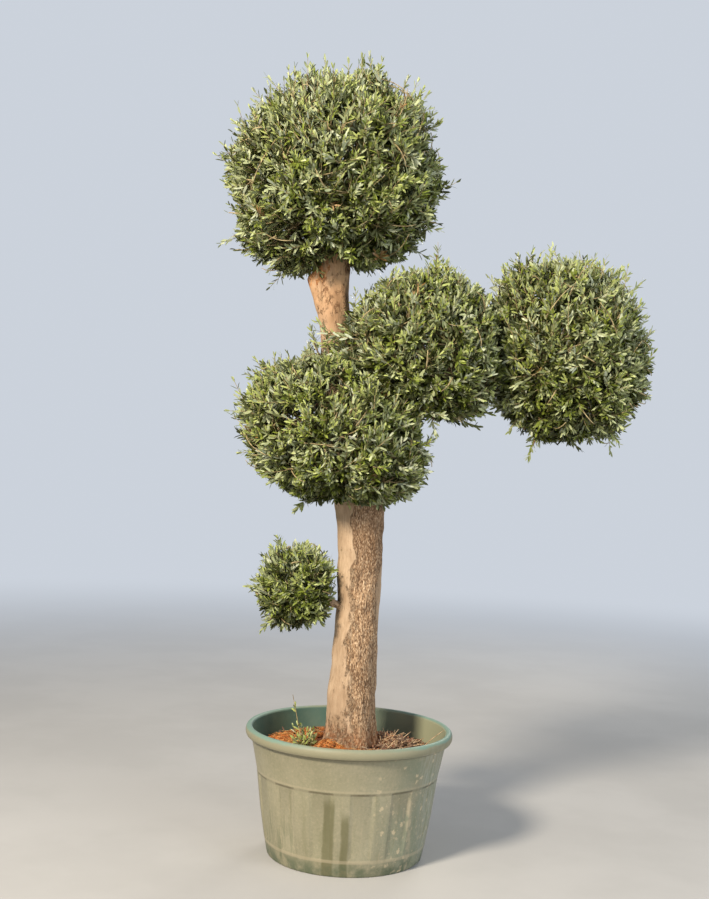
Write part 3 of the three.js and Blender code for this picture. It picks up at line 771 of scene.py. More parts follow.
# Lathe work
def spun(name, profile, steps, start=0.0):
    """A profile of (radius, height), drawn point by point in edit mode and spun once round."""
    piece = primitive(name, bpy.ops.mesh.primitive_plane_add, size=0.01, location=(0, 0, 0))
    bpy.ops.object.mode_set(mode="EDIT")
    bpy.ops.mesh.merge(type="CENTER")
    bpy.ops.transform.translate(value=(0, 0, profile[0][1]))
    here = (0.0, profile[0][1])
    for radius, height in profile:
        out = radius - here[0]
        step = (out * math.cos(start), out * math.sin(start), height - here[1])
        if here != (radius, height):
            bpy.ops.mesh.extrude_region_move(TRANSFORM_OT_translate={"value": step})
        here = (radius, height)
    bpy.ops.mesh.select_all(action="SELECT")
    bpy.ops.mesh.spin(steps=steps, angle=2 * math.pi, center=(0, 0, 0), axis=(0, 0, 1))
    bpy.ops.mesh.select_all(action="SELECT")
    bpy.ops.mesh.remove_doubles(threshold=1e-5)
    bpy.ops.mesh.normals_make_consistent(inside=False)
    bpy.ops.object.mode_set(mode="OBJECT")
    return piece


def inner_radius(height):
    foot = BASE_RADIUS - WALL - PANEL_DEPTH
    share = (height - FLOOR) / (BAND_TOP - FLOOR)
    return foot + share * (BAND_TOP_RADIUS - WALL - foot)


def pot_profile():
    half = RIM_BAND / 2
    rim_arc = [
        (RIM_RADIUS - RIM_ROLL + RIM_ROLL * math.cos(turn), POT_HEIGHT - half + half * math.sin(turn))
        for turn in np.radians(RIM_TURNS)
    ]
    return [
        (0.0, 0.0),
        (BASE_RADIUS - 0.004, 0.0),
        (BASE_RADIUS, 0.004),
        (FOOT_BAND_RADIUS, FOOT_BAND_HEIGHT),
        (FOOT_BAND_RADIUS + 0.0025, PANELS_FOOT),
        (WAIST_RADIUS, WAIST_HEIGHT),
        (STEP_RADIUS - 0.0005, PANELS_TOP),
        (STEP_RADIUS, STEP_HEIGHT),
        (BAND_TOP_RADIUS, BAND_TOP),
        *rim_arc,
        (RIM_RADIUS - 0.024, POT_HEIGHT - 0.002),
        (RIM_RADIUS - 0.031, POT_HEIGHT - 0.010),
        (inner_radius(BAND_TOP), BAND_TOP),
        (inner_radius(FLOOR), FLOOR),
        (0.0, FLOOR),
    ]


def make_pot():
    """The spun pot with its pressed panels and rounded edges."""
    pot = spun("nursery_pot", pot_profile(), PANELS * PANEL_COLUMNS, FIRST_PANEL)
    period = 2 * math.pi / PANELS
    half_recess = period * RECESS_COLUMNS / PANEL_COLUMNS / 2
    bpy.ops.object.mode_set(mode="EDIT")
    bpy.ops.mesh.select_all(action="DESELECT")
    bpy.ops.object.mode_set(mode="OBJECT")
    bpy.context.tool_settings.mesh_select_mode = (False, False, True)
    for face in pot.data.polygons:
        middle = face.center
        turn = (math.atan2(middle.y, middle.x) - FIRST_PANEL + period / 2) % period - period / 2
        outside = math.hypot(middle.x, middle.y) > inner_radius(middle.z) + WALL / 2
        face.select = outside and PANELS_FOOT < middle.z < PANELS_TOP and abs(turn) < half_recess
    bpy.ops.object.mode_set(mode="EDIT")
    bpy.ops.mesh.inset(thickness=PANEL_SLOPE, depth=-PANEL_DEPTH, use_boundary=True)
    bpy.ops.object.mode_set(mode="OBJECT")
    apply_modifier(pot, "BEVEL", width=POT_BEVEL, segments=2, limit_method="ANGLE",
                   angle_limit=math.radians(25))
    bpy.ops.object.shade_smooth_by_angle(angle=math.radians(40))
    places = corners_of(pot)
    normals = np.empty(places.size)
    pot.data.vertices.foreach_get("normal", normals)
    facing = (normals.reshape(-1, 3)[:, :2] * unit(places[:, :2] + 1e-9)).sum(1)
    set_value(pot, "inside", (facing < -0.3) & (places[:, 2] < POT_HEIGHT - 0.006) & (places[:, 2] > FLOOR))
    finish_piece(pot, [pot_material()], "pot")


def soil_height(x, y):
    """The height of the heaped soil at a place."""
    edge = inner_radius(SOIL_EDGE_HEIGHT)
    share = np.clip((edge - np.hypot(x, y)) / (edge - SOIL_SEAT_RADIUS), 0, 1)
    tilt = -SOIL_EDGE_TILT * x / BAND_TOP_RADIUS
    heaps = sum(top * np.exp(-((x - middle_x) ** 2 + (y - middle_y) ** 2) / spread**2)
                for middle_x, middle_y, spread, top in SOIL_HEAPS)
    return SOIL_EDGE_HEIGHT + (SOIL_MOUND_HEIGHT - SOIL_EDGE_HEIGHT) * share**0.8 + tilt + heaps


def make_soil():
    """Spun soil, raised to its heaps and broken into crumbs."""
    edge = inner_radius(SOIL_EDGE_HEIGHT - SOIL_EDGE_TILT) - 0.004
    rings = [(radius, SOIL_EDGE_HEIGHT) for radius in np.linspace(edge, 0.03, SOIL_RINGS)]
    profile = [(0.0, SOIL_UNDERSIDE), (edge - 0.03, SOIL_UNDERSIDE), *rings, (0.0, SOIL_EDGE_HEIGHT)]
    soil = spun("soil_heap", profile, SOIL_STEPS)
    places = corners_of(soil)
    top = places[:, 2] > SOIL_EDGE_HEIGHT - 0.001
    places[top, 2] = soil_height(places[top, 0], places[top, 1])
    set_corners(soil, places)
    soil.vertex_groups.new(name="top").add(np.nonzero(top)[0].tolist(), 1.0, "REPLACE")
    displace(soil, "crumbs", 0.02, 3, strength=0.012, mid_level=0.6, direction="Z",
             vertex_group="top", texture_coords="LOCAL")
    bpy.ops.object.shade_smooth()
    finish_piece(soil, [SOIL], "soil")


# Limbs
def limb_at(stations, shares):
    """Middles, directions and radii of a limb at shares of its way, on one smooth curve."""
    stations = np.array(stations)
    points = stations[:, :3]
    before = 2 * points[0] - points[1]
    after = 2 * points[-1] - points[-2]
    points = np.vstack([before, points, after])
    way = np.clip(shares, 0, 1) * (len(stations) - 1)
    low = np.minimum(way.astype(int), len(stations) - 2)
    step = (way - low)[:, None]
    first, start, end, last = (points[low + i] for i in range(4))
    leave, arrive = (end - first) / 2, (last - start) / 2
    square = -3 * start + 3 * end - 2 * leave - arrive
    cube = 2 * start - 2 * end + leave + arrive
    middles = start + leave * step + square * step**2 + cube * step**3
    along = unit(leave + 2 * square * step + 3 * cube * step**2)
    return middles, along, mix(stations[low, 3], stations[low + 1, 3], way - low)


def limb_frame(along):
    aside = unit(np.cross((0.0, 1.0, 0.0), along))
    return aside, np.cross(aside, along)


def limb_tube(limb, sides, rings, flare=0.0):
    """A disc extruded ring by ring, then laid along the limb's line with its fluted girth."""
    tube = primitive(limb + "_bark", bpy.ops.mesh.primitive_circle_add, vertices=sides, radius=1,
                     fill_type="NGON")
    bpy.ops.object.mode_set(mode="EDIT")
    bpy.ops.mesh.select_all(action="SELECT")
    for _ in range(rings):
        bpy.ops.mesh.extrude_region_move(TRANSFORM_OT_translate={"value": (0, 0, 1 / rings)})
    bpy.ops.object.mode_set(mode="OBJECT")
    drawn = corners_of(tube)
    middles, along, radii = limb_at(LIMBS[limb], drawn[:, 2])
    aside, across = limb_frame(along)
    angle = np.arctan2(drawn[:, 1], drawn[:, 0])
    first, second = FLUTE_WAVES
    height = middles[:, 2]
    flutes = FLUTES[limb] * (np.cos(2 * angle + height / first) + np.cos(3 * angle - height / second))
    roots = flare * np.exp((TRUNK_FOOT - height) / ROOT_FLARE_HEIGHT) * np.cos(ROOT_LOBES * angle)
    radius = (np.hypot(drawn[:, 0], drawn[:, 1]) * radii * (1 + flutes + roots))[:, None]
    turned = aside * np.cos(angle)[:, None] + across * np.sin(angle)[:, None]
    set_corners(tube, middles + turned * radius)
    edit_whole(bpy.ops.mesh.normals_make_consistent, inside=False)
    return tube


def cut_flat(piece, at, normal):
    """Cuts off what lies past a plane and closes the cut."""
    select_only(piece)
    edit_whole(bpy.ops.mesh.bisect, plane_co=at, plane_no=normal, use_fill=True, clear_outer=True)


def carve_bark(piece, rough):
    """Lumps all over, long flutes, and broken lumps where the bark is rough."""
    rough_group = piece.vertex_groups.new(name="broken")
    for level in range(1, 11):
        in_level = np.nonzero((rough > (level - 1) / 10) & (rough <= level / 10))[0]
        rough_group.add(in_level.tolist(), level / 10, "REPLACE")
    bpy.ops.object.empty_add(location=(0, 0, 0))
    stretcher = bpy.context.view_layer.objects.active
    stretcher.scale = (1, 1, BARK_STRETCH)
    bpy.context.view_layer.update()
    stretched = {"texture_coords": "OBJECT", "texture_coords_object": stretcher, "mid_level": 0.5}
    displace(piece, "lumps", 0.11, 1, strength=0.014, mid_level=0.5, texture_coords="LOCAL")
    displace(piece, "flutes", 0.045, 2, strength=0.008, **stretched)
    displace(piece, "breaks", 0.016, 2, strength=0.0055, vertex_group="broken", **stretched)
    bpy.data.objects.remove(stretcher)


def make_trunk():
    """The trunk with its stub as one skin, and the masks for its paint."""
    trunk = limb_tube("trunk", 56, 150, ROOT_FLARE)
    cut_flat(trunk, (0, 0, TRUNK_FOOT), (0, 0, -1))
    stub = limb_tube("stub", 32, 30)
    cut_flat(stub, STUB_CUT_AT, STUB_CUT_NORMAL)
    select_only(trunk, stub)
    bpy.ops.object.join()
    apply_modifier(trunk, "REMESH", mode="VOXEL", voxel_size=TRUNK_VOXEL, use_smooth_shade=True)
    apply_modifier(trunk, "SMOOTH", factor=0.5, iterations=4)
    places = corners_of(trunk)
    rough = trunk_roughness(places)
    carve_bark(trunk, rough)
    set_value(trunk, "rough", rough)
    set_value(trunk, "stem", np.ones(len(rough)))
    past_cut = (places - STUB_CUT_AT) @ unit(STUB_CUT_NORMAL)
    from_cut = np.linalg.norm(places - STUB_CUT_AT, axis=1)
    worn = 0.55 * (1 - steady(from_cut, 0.05, 0.13))
    sawn = np.where(from_cut < STUB_REACH, steady(past_cut, -0.006, -0.002), 0)
    set_value(trunk, "cut", np.maximum(sawn, worn))
    knots = np.zeros(len(places))
    for x, z, size in KNOTS:
        away = np.hypot(places[:, 0] - x, (places[:, 2] - z) / KNOT_HEIGHT)
        knots = np.maximum(knots, np.where(places[:, 1] < 0, 1 - steady(away, size * 0.5, size), 0))
    set_value(trunk, "knot", knots)
    finish_piece(trunk, [BARK], "trunk")


def trunk_roughness(places):
    """1 where the trunk has broken bark, 0 on its smooth left side, its right strip and its top."""
    middles, along, _ = limb_at(LIMBS["trunk"], np.linspace(0, 1, 240))
    nearest = np.argmin(np.linalg.norm(places[:, None, :] - middles[None], axis=2), axis=1)
    aside, across = limb_frame(along)
    offset = places - middles[nearest]
    angle = np.arctan2((offset * across[nearest]).sum(1), (offset * aside[nearest]).sum(1))
    height = places[:, 2]
    # Degrees round the trunk from +X by the front, where the smooth side begins and ends
    degrees = np.degrees(angle) % 360
    waver = 5 * np.sin(height * 23) + 3 * np.sin(height * 61 + 1)
    left_edge = 106 - 18 * (1 - steady(height, 0.5, 0.9)) + waver
    soft = mix(22, 4, steady(height, 1.18, 1.30) * (1 - steady(height, 1.55, 1.65)))
    back_edge = 236 + 9 * np.sin(height * 17)
    bare_left = steady(degrees, left_edge - soft, left_edge + soft)
    bare_left *= 1 - steady(degrees, back_edge - 10, back_edge + 10)
    from_right = np.where(degrees > 180, degrees - 360, degrees)
    strip_width = 30 * steady(height, 0.86, 1.05) * (1 - steady(height, 1.20, 1.36)) - 6 + waver
    bare_strip = 1 - steady(np.abs(from_right - 6), strip_width - 8, strip_width + 8)
    bare_top = steady(height, 1.9, 2.2)
    foot = 0.5 * (1 - steady(height, 0.50, 0.66))
    upper = bare_top * (0.18 + 0.25 * steady(np.cos(angle), 0.6, 0.98))
    rough = (1 - bare_left) * (1 - bare_strip) * (1 - bare_top)
    return np.maximum.reduce([rough, foot, upper])


def make_bough(limb, sides, rings, rough):
    bough = limb_tube(limb, sides, rings)
    apply_modifier(bough, "SUBSURF", levels=1, render_levels=1)
    values = np.full(len(bough.data.vertices), rough)
    carve_bark(bough, values)
    set_value(bough, "rough", values)
    bpy.ops.object.shade_smooth()
    finish_piece(bough, [BARK], limb)


# Leafy balls
def outline_at(outline, angles):
    """A ball's reach at angles round its outline, smooth between the steps."""
    reaches = np.array(outline)
    way = (angles / (2 * math.pi) % 1) * len(reaches)
    step = way.astype(int)
    before, start, end, after = (reaches[(step + i) % len(reaches)] for i in (-1, 0, 1, 2))
    share = way - step
    slope = (end - before) / 2
    bend = before - 2.5 * start + 2 * end - after / 2
    twist = 1.5 * (start - end) + (after - before) / 2
    return start + share * (slope + share * (bend + share * twist))


def ball_reach(ball, directions):
    """How far a ball reaches from its centre in each direction."""
    x, y, z = directions.T
    aside = np.hypot(x, z) / outline_at(ball["outline"], np.arctan2(z, x))
    forward = np.abs(y) / ball["depth"]
    return (aside**BALL_POWER + forward**BALL_POWER) ** (-1 / BALL_POWER)


def ball_share(ball, places):
    offset = places - np.array(ball["centre"])
    distance = np.linalg.norm(offset, axis=1)
    return distance / ball_reach(ball, offset / distance[:, None])


def from_centre(ball, directions, ends):
    return np.array(ball["centre"]) + directions * ends[:, None]


def in_space(ball, places, reach, border=BOUGH_BORDER):
    """Whether places are within the ball's reach and nearer to it than to any other ball."""
    share = ball_share(ball, places)
    kept = share < reach
    for other in BALLS:
        if other is not ball:
            kept &= share < ball_share(other, places) - border
    return kept


def kept_back(ball, directions, ends, reach, border):
    """Draws back the ends that would cross into another ball."""
    for _ in range(8):
        tips = from_centre(ball, directions, ends)
        ends = np.where(in_space(ball, tips, reach, border), ends, ends * 0.93)
    return ends


def limb_samples():
    """Middles and full girths along all the limbs."""
    middles, girths = [], []
    for name, stations in LIMBS.items():
        places, _, radii = limb_at(stations, np.linspace(0, 1, 60))
        middles.append(places)
        girths.append(radii * (1 + 2 * FLUTES[name]))
    return np.vstack(middles), np.concatenate(girths)


LIMB_MIDDLES, LIMB_GIRTHS = limb_samples()
# Places that are looked at in one go, so that the arrays stay small
BLOCK = 20000


def clear_of_limbs(places):
    kept = np.ones(len(places), bool)
    for start in range(0, len(places), BLOCK):
        block = slice(start, start + BLOCK)
        gaps = np.linalg.norm(places[block][:, None] - LIMB_MIDDLES[None], axis=2) - LIMB_GIRTHS
        kept[block] = gaps.min(1) > LIMB_MARGIN
    return kept


def direction_of(azimuth, elevation):
    level = np.cos(elevation)
    return np.stack([level * np.cos(azimuth), level * np.sin(azimuth), np.sin(elevation)], -1)


def main_directions(ball):
    """The source's directions: the long shoots, then the others, evenly spread with a little chance."""
    roll = dice(ball["seed"])
    turns = [(math.radians(azimuth), math.radians(elevation), reach)
             for azimuth, elevation, reach in ball["shoots"]]
    for i in range(ball["arms"]):
        height = 1 - (2 * i + 1) / ball["arms"]
        azimuth = i * GOLDEN_ANGLE + 0.25 * (next(roll) - 0.5)
        elevation = math.asin(min(1, max(-1, height + 0.06 * (next(roll) - 0.5))))
        turns.append((azimuth, elevation, 0.97 + 0.08 * next(roll)))
    azimuths, elevations, reaches = np.array(turns).T
    return direction_of(azimuths, elevations), reaches


def spread_directions(count, chance, jitter):
    """Directions evenly spread over a ball, each moved a little by chance."""
    order = np.arange(count)
    height = 1 - (2 * order + 1) / count
    directions = direction_of(order * GOLDEN_ANGLE + chance.random() * 6, np.arcsin(height))
    return unit(directions + jitter * chance.normal(size=(count, 3)))


# Twigs are (feet, bends, tips), leaves are (roots, directions, faces, lengths, kinds)
def chosen(rows, which):
    return tuple(part[which] for part in rows)


def arched(feet, tips, arch=TWIG_ARCH):
    """Twigs that hang a little and rise again at their tips."""
    bends = (feet + tips) / 2
    bends[:, 2] -= arch * np.linalg.norm(tips - feet, axis=1)
    return feet, bends, tips


def along_twigs(twigs, shares):
    """Places and directions at shares (n, k) of n twigs."""
    t = shares[..., None]
    feet, bends, tips = (part[:, None] for part in twigs)
    places = (1 - t) ** 2 * feet + 2 * t * (1 - t) * bends + t**2 * tips
    return places, unit((1 - t) * (bends - feet) + t * (tips - bends))


def feet_on(twigs, which, shares):
    """Where new twigs start, at shares (n, 1) of the chosen ones."""
    return along_twigs(chosen(twigs, which), shares)[0][:, 0]


def arm_feet(ball, tips):
    """Where the main twigs start: at the end of the ball's stem, or beside the limb it grows round."""
    if "stem" in ball:
        return np.repeat([ball["stem"][-1][:3]], len(tips), axis=0)
    centre = np.array(ball["centre"])
    middles, _, radii = limb_at(LIMBS[ball["around"]], np.linspace(0, 1, 60))
    inner = centre + (tips - centre) * (0.6 / ball_share(ball, tips))[:, None]
    gaps = np.linalg.norm(inner[:, None] - middles[None], axis=2) - radii
    nearest = gaps.argmin(1)
    away = unit(inner - middles[nearest])
    return middles[nearest] + away * (radii[nearest] * 0.8)[:, None]


def twig_mesh(twigs, radii, sides, rings):
    """Tapering tubes with closed ends, as corners and triangles."""
    shares = np.repeat(np.linspace(0, 1, rings)[None], len(twigs[0]), axis=0)
    middles, along = along_twigs(twigs, shares)
    return tube_mesh(middles, along, mix(radii[0], radii[1], shares), sides)


def repeated(triangles, count, corners):
    """The triangles of one shape for a count of them, each with so many corners."""
    return (triangles[None] + (np.arange(count) * corners)[:, None, None]).reshape(-1, 3)


def tube_mesh(middles, along, girths, sides):
    """Tubes round lines of middles, as corners and triangles."""
    count, rings = middles.shape[:2]
    aside = unit(np.cross(along, (0.31, 0.77, 0.55)))
    across = np.cross(along, aside)
    turn = (np.arange(sides) * 2 * math.pi / sides)[None, None, :, None]
    ring = aside[:, :, None] * np.cos(turn) + across[:, :, None] * np.sin(turn)
    corners = middles[:, :, None] + ring * girths[:, :, None, None]
    triangles = []
    for i in range(rings - 1):
        for j in range(sides):
            a, b = i * sides + j, i * sides + (j + 1) % sides
            triangles += [(a, b, b + sides), (a, b + sides, a + sides)]
    last = (rings - 1) * sides
    for j in range(1, sides - 1):
        triangles += [(0, j + 1, j), (last, last + j, last + j + 1)]
    return corners.reshape(-1, 3), repeated(np.array(triangles), count, rings * sides)


# Leaf shapes: shares along and aside of each corner, and the triangles. The open leaf is blunt, with two
# corners on each edge. The plain one is for the inside of a ball.
OPEN_LEAF = (
    np.array([0.0, 0.28, 0.76, 1.0, 0.76, 0.28]),
    np.array([0.0, -0.9, -0.85, 0.0, 0.85, 0.9]),
    np.array([(0, 1, 5), (1, 2, 5), (2, 4, 5), (2, 3, 4)]),
)
PLAIN_LEAF = (
    np.array([0.0, 1.0, 0.42, 0.42]),
    np.array([0.0, 0.0, -1.0, 1.0]),
    np.array([(0, 2, 1), (0, 1, 3)]),
)


def leaf_mesh(shape, roots, along, faces, lengths, curls, widths, fold=LEAF_FOLD):
    """Pointed leaves folded at the midrib: corners, triangles, and 0 at the midrib to 1 at the edge."""
    reaches, asides, drawn = shape
    side = np.cross(faces, along)
    reach = lengths[:, None, None] * reaches[None, :, None]
    half = (lengths * widths / 2)[:, None, None] * asides[None, :, None]
    lift = (lengths * curls)[:, None, None] * (reaches**2)[None, :, None] + fold * np.abs(half)
    corners = roots[:, None] + along[:, None] * reach + side[:, None] * half + faces[:, None] * lift
    triangles = repeated(drawn, len(roots), len(reaches))
    return corners.reshape(-1, 3), triangles, np.tile(np.abs(asides), len(roots))


def leaf_piece(name, node, shape, leaves, curls, widths):
    """Leaves as one piece, each in the colour of its kind."""
    *placed, kinds = leaves
    corners, triangles, across = leaf_mesh(shape, *placed, curls, widths)
    piece = joined_mesh(name, corners, triangles, np.repeat(kinds, len(shape[2])), across)
    finish_piece(piece, LEAVES, node)


def spray_leaves(twigs, shares, chance, length=LEAF_LENGTH):
    """Opposite pairs of leaves along twigs, each pair turned a quarter from the last."""
    places, along = along_twigs(twigs, shares)
    count, pairs = shares.shape
    across = unit(np.cross((0.31, 0.77, 0.55), along))
    third = np.cross(along, across)
    start = chance.random((count, 1)) * math.pi
    turn = start + np.arange(pairs)[None] * (math.pi / 2) + 0.5 * chance.normal(size=(count, pairs))
    outward = across * np.cos(turn[..., None]) + third * np.sin(turn[..., None])
    both = np.stack([outward, -outward], axis=2)
    spread = mix(*LEAF_ANGLES, shares[:, :, None] ** 2)
    spread = np.radians(spread + LEAF_ANGLE_CHANCE * chance.normal(size=(count, pairs, 2)))
    along = np.repeat(along[:, :, None], 2, axis=2)
    direction = unit(along * np.cos(spread)[..., None] + both * np.sin(spread)[..., None])
    face = unit(along - direction * (along * direction).sum(-1, keepdims=True))
    roll = np.radians(LEAF_ROLL) * chance.normal(size=(count, pairs, 2))[..., None]
    face = unit(face * np.cos(roll) + np.cross(direction, face) * np.sin(roll))
    size = length * (1 - 0.25 * (shares[:, :, None] - 0.45) ** 2 * 4)
    size = size * mix(0.82, 1.14, chance.random(spread.shape))
    roots = np.repeat(places[:, :, None], 2, axis=2)
    return roots.reshape(-1, 3), direction.reshape(-1, 3), face.reshape(-1, 3), size.ravel()


def spray_kinds(ball, tips, pairs, chance):
    """Each leaf's colour: its spray's own, paler above and darker beneath as painted light and shade, fresher
    at the tip and darker inside.
    """
    count = len(tips)
    # Painted light and shade: pale kinds more likely at the top of a ball, the dark kind beneath it
    lifted = np.clip((tips[:, 2] - ball["centre"][2]) / ball["depth"], -1, 1)
    shaded = steady(-lifted, 0.2, 0.9)
    limits = (0.24 + 0.10 * lifted - 0.08 * shaded, 0.52 + 0.14 * lifted - 0.18 * shaded,
              0.86 + 0.09 * lifted - 0.30 * shaded)
    pick = chance.random(count)
    own = np.select([pick < limit for limit in limits], [FRESH, GREY, GREEN], DEEP)
    own = np.where(chance.random(count) < RUSTY_CHANCE, RUSTY, own)
    kinds = np.repeat(own[:, None], pairs, axis=1)
    rank = np.arange(pairs)[None] / max(1, pairs - 1)
    plain = (kinds != RUSTY) & (kinds != DEEP)
    fresher = (rank > 0.7) & (chance.random((count, pairs)) < 0.45) & plain
    older = (rank < 0.3) & (chance.random((count, pairs)) < 0.55) & plain
    kinds = np.where(fresher, FRESH, np.where(older, DEEP, kinds))
    return np.repeat(kinds[:, :, None], 2, axis=2).ravel()


def leafy(ball, twigs, chance, first, pairs):
    """The leaves of a ball's twigs from a share of their length on."""
    shares = np.linspace(first, LAST_PAIR, pairs)[None] + 0.02 * chance.normal(size=(len(twigs[0]), pairs))
    return (*spray_leaves(twigs, np.clip(shares, 0, 1), chance), spray_kinds(ball, twigs[2], pairs, chance))


def clumps(directions, seed):
    """Uneven growth over a ball, from -1 in the hollows to 1 where it is thick."""
    x, y, z = directions.T
    wide = np.sin(9 * x + seed) * np.sin(8 * y + 2 * seed) + np.sin(9 * z + 3 * seed) * np.sin(7 * x - seed)
    close = np.sin(17 * x + 2 * seed) * np.sin(16 * y + seed) * np.sin(18 * z - seed)
    small = np.sin(34 * x + seed) * np.sin(31 * y - seed) * np.sin(36 * z + 2 * seed)
    return 0.4 * wide + 0.8 * close + 0.8 * small


def grow_arms(ball):
    """A ball's main twigs, with their directions and reaches."""
    directions, reaches = main_directions(ball)
    surface = ball_reach(ball, directions)
    ends = np.where(reaches > LONG_SHOOT, surface * reaches - 2 * LEAF_LENGTH, surface * ball["shell"])
    tips = from_centre(ball, directions, ends)
    kept = in_space(ball, tips, 2.0) & clear_of_limbs(tips)
    return arched(arm_feet(ball, tips[kept]), tips[kept]), directions[kept], reaches[kept]


def grow_side_twigs(ball, arms, arm_directions, chance):
    """Twigs on the main ones, just inside the leafy shell."""
    directions = spread_directions(ball["arms"] * SIDE_TWIGS_PER_ARM, chance, 0.05)
    ends = ball_reach(ball, directions) * (ball["shell"] + 0.05 + 0.05 * chance.normal(size=len(directions)))
    tips = from_centre(ball, directions, kept_back(ball, directions, ends, 1.0, BOUGH_BORDER))
    kept = in_space(ball, tips, 1.0) & clear_of_limbs(tips)
    tips, directions = tips[kept], directions[kept]
    parent = (directions @ arm_directions.T).argmax(1)
    return arched(feet_on(arms, parent, mix(0.35, 0.8, chance.random((len(tips), 1)))), tips)


def grow_sprays(ball, twigs, chance, count, middle, scatter, wisps):
    """Leafy ends on the side twigs, fewer and shorter where the ball has hollows, a few long and wild."""
    directions = spread_directions(count, chance, 0.055)
    thick = clumps(directions, ball["seed"])
    kept = (thick > ball.get("hollow", HOLLOW)) | (chance.random(len(thick)) < HOLLOW_KEPT)
    directions, thick = directions[kept], thick[kept]
    centre = np.array(ball["centre"])
    reach = middle + scatter * (0.85 * chance.normal(size=len(directions)) + np.clip(1.5 * thick, -1.3, 1.3))
    wild = chance.random(len(directions)) < mix(wisps[0], wisps[1], steady(directions[:, 2], -0.2, 0.4))
    reach = np.where(wild, mix(*WISP_REACH, chance.random(len(directions))), np.minimum(reach, SPRAY_LIMIT))
    ends = ball_reach(ball, directions) * reach - TIP_LEAF * LEAF_LENGTH
    tips = from_centre(ball, directions, kept_back(ball, directions, ends, BALL_SPACE, LEAF_BORDER))
    tips = tips[in_space(ball, tips, BALL_SPACE, LEAF_BORDER) & clear_of_limbs(tips)]
    inner = centre + (tips - centre) * 0.86 + SPRAY_LEAN * chance.normal(size=tips.shape) - (0, 0, SPRAY_RISE)
    parent = np.linalg.norm(inner[:, None] - twigs[2][None], axis=2).argmin(1)
    return arched(feet_on(twigs, parent, mix(0.55, 1.0, chance.random((len(tips), 1)))), tips)


def loose_twigs(ball, chance):
    """Bare brown twigs that run along a ball between its leafy ends."""
    directions = spread_directions(int(LOOSE_SHARE * ball["arms"]), chance, 0.2)
    turned = unit(directions + LOOSE_TURN * chance.normal(size=directions.shape))
    feet, bends, tips = (
        from_centre(ball, way, ball_reach(ball, way) * reach)
        for way, reach in zip((directions, unit(directions + turned), turned), LOOSE_REACHES))
    kept = in_space(ball, feet, 1.0) & in_space(ball, tips, 1.0)
    return chosen((feet, bends, tips), kept & clear_of_limbs(tips) & clear_of_limbs(bends))


def shoot_sprays(ball, arms, directions, reaches):
    """The long shoots, from inside the leafy shell to their far tips."""
    long = reaches > ARM_LIMIT
    feet = feet_on(arms, long, np.full((long.sum(), 1), 0.7))
    ends = ball_reach(ball, directions[long]) * reaches[long] - TIP_LEAF * LEAF_LENGTH
    return arched(feet, from_centre(ball, directions[long], ends), SHOOT_ARCH)


def make_ball(ball):
    """A ball's boughs, twigs, outer leaves and inner leaves."""
    chance = np.random.default_rng(ball["seed"])
    arms, directions, reaches = grow_arms(ball)
    twigs = grow_side_twigs(ball, arms, directions, chance)
    sprays = grow_sprays(ball, twigs, chance, ball["sprays"], OUTER_REACH, ball.get("scatter", SCATTER),
                         ball.get("wisps", WISPS))
    deep = grow_sprays(ball, twigs, chance, int(DEEP_SHARE * ball["sprays"]), DEEP_REACH, DEEP_SCATTER,
                       (0, 0))
    shoots = shoot_sprays(ball, arms, directions, reaches)
    loose = loose_twigs(ball, np.random.default_rng(LOOSE_SEED + ball["seed"]))
    node = "foliage_" + ball["name"]

    wood = [twig_mesh(arms, *ARM_TUBE)]
    if "stem" in ball:
        middles, along, radii = limb_at(ball["stem"], np.linspace(0, 1, 8))
        wood.append(tube_mesh(middles[None], along[None], radii[None], STEM_SIDES))
    boughs = stacked_piece("boughs_" + ball["name"], wood, BARK, node)
    set_value(boughs, "rough", np.full(len(boughs.data.vertices), 0.8))

    fine = [twig_mesh(kind, *tube) for kind, tube in (
        (twigs, SIDE_TWIG_TUBE), (sprays, SPRAY_TUBE), (deep, DEEP_TUBE), (shoots, SHOOT_TUBE),
        (loose, LOOSE_TUBE))]
    stacked_piece("twigs_" + ball["name"], fine, TWIG, node)

    outer = [leafy(ball, kind, chance, *leaves) for kind, leaves in (
        (sprays, SPRAY_LEAVES), (shoots, SHOOT_LEAVES), (twigs, SIDE_TWIG_LEAVES))]
    # The long shoots stand out in the light: their dark leaves take the green kind instead, as painted light
    *placed, kinds = outer[1]
    outer[1] = (*placed, np.where(kinds == DEEP, GREEN, kinds))
    make_leaves(ball, "leaves_" + ball["name"], OPEN_LEAF, LEAF_WIDTH, outer, chance)
    roots, along, faces, lengths, kinds = leafy(ball, deep, chance, *DEEP_LEAVES)
    # The inner leaves mostly take the darkest kind: older leaves, darkened further as painted shade inside
    # the ball
    kinds = np.where(chance.random(len(kinds)) < DEEP_LEAF_SHADED, DEEP, GREEN)
    inner = [(roots, along, faces, lengths * DEEP_LEAF_SIZE, kinds)]
    make_leaves(ball, "inner_leaves_" + ball["name"], PLAIN_LEAF, DEEP_LEAF_WIDTH, inner, chance)


def make_leaves(ball, name, shape, width, groups, chance):
    """Joins a ball's leaves, those that stay in its own space, into pieces."""
    leaves = tuple(np.concatenate(part) for part in zip(*groups))
    roots, along, _, lengths, _ = leaves
    ends = roots + along * lengths[:, None]
    reach = max(BALL_SPACE, *(reach for _, _, reach in ball["shoots"]))
    kept = in_space(ball, ends, reach, LEAF_BORDER) & in_space(ball, roots, reach, LEAF_BORDER)
    kept &= clear_of_limbs((roots + ends) / 2) & clear_of_limbs(ends)
    order = np.nonzero(kept)[0]
    node = "foliage_" + ball["name"]
    for number, portion in enumerate(np.array_split(order, math.ceil(len(order) / LEAVES_PER_PIECE)), 1):
        curls = LEAF_CURL * chance.normal(size=len(portion))
        widths = width * mix(*WIDTH_RANGE, chance.random(len(portion)))
        leaf_piece(f"{name}_{number}", node, shape, chosen(leaves, portion), curls, widths)


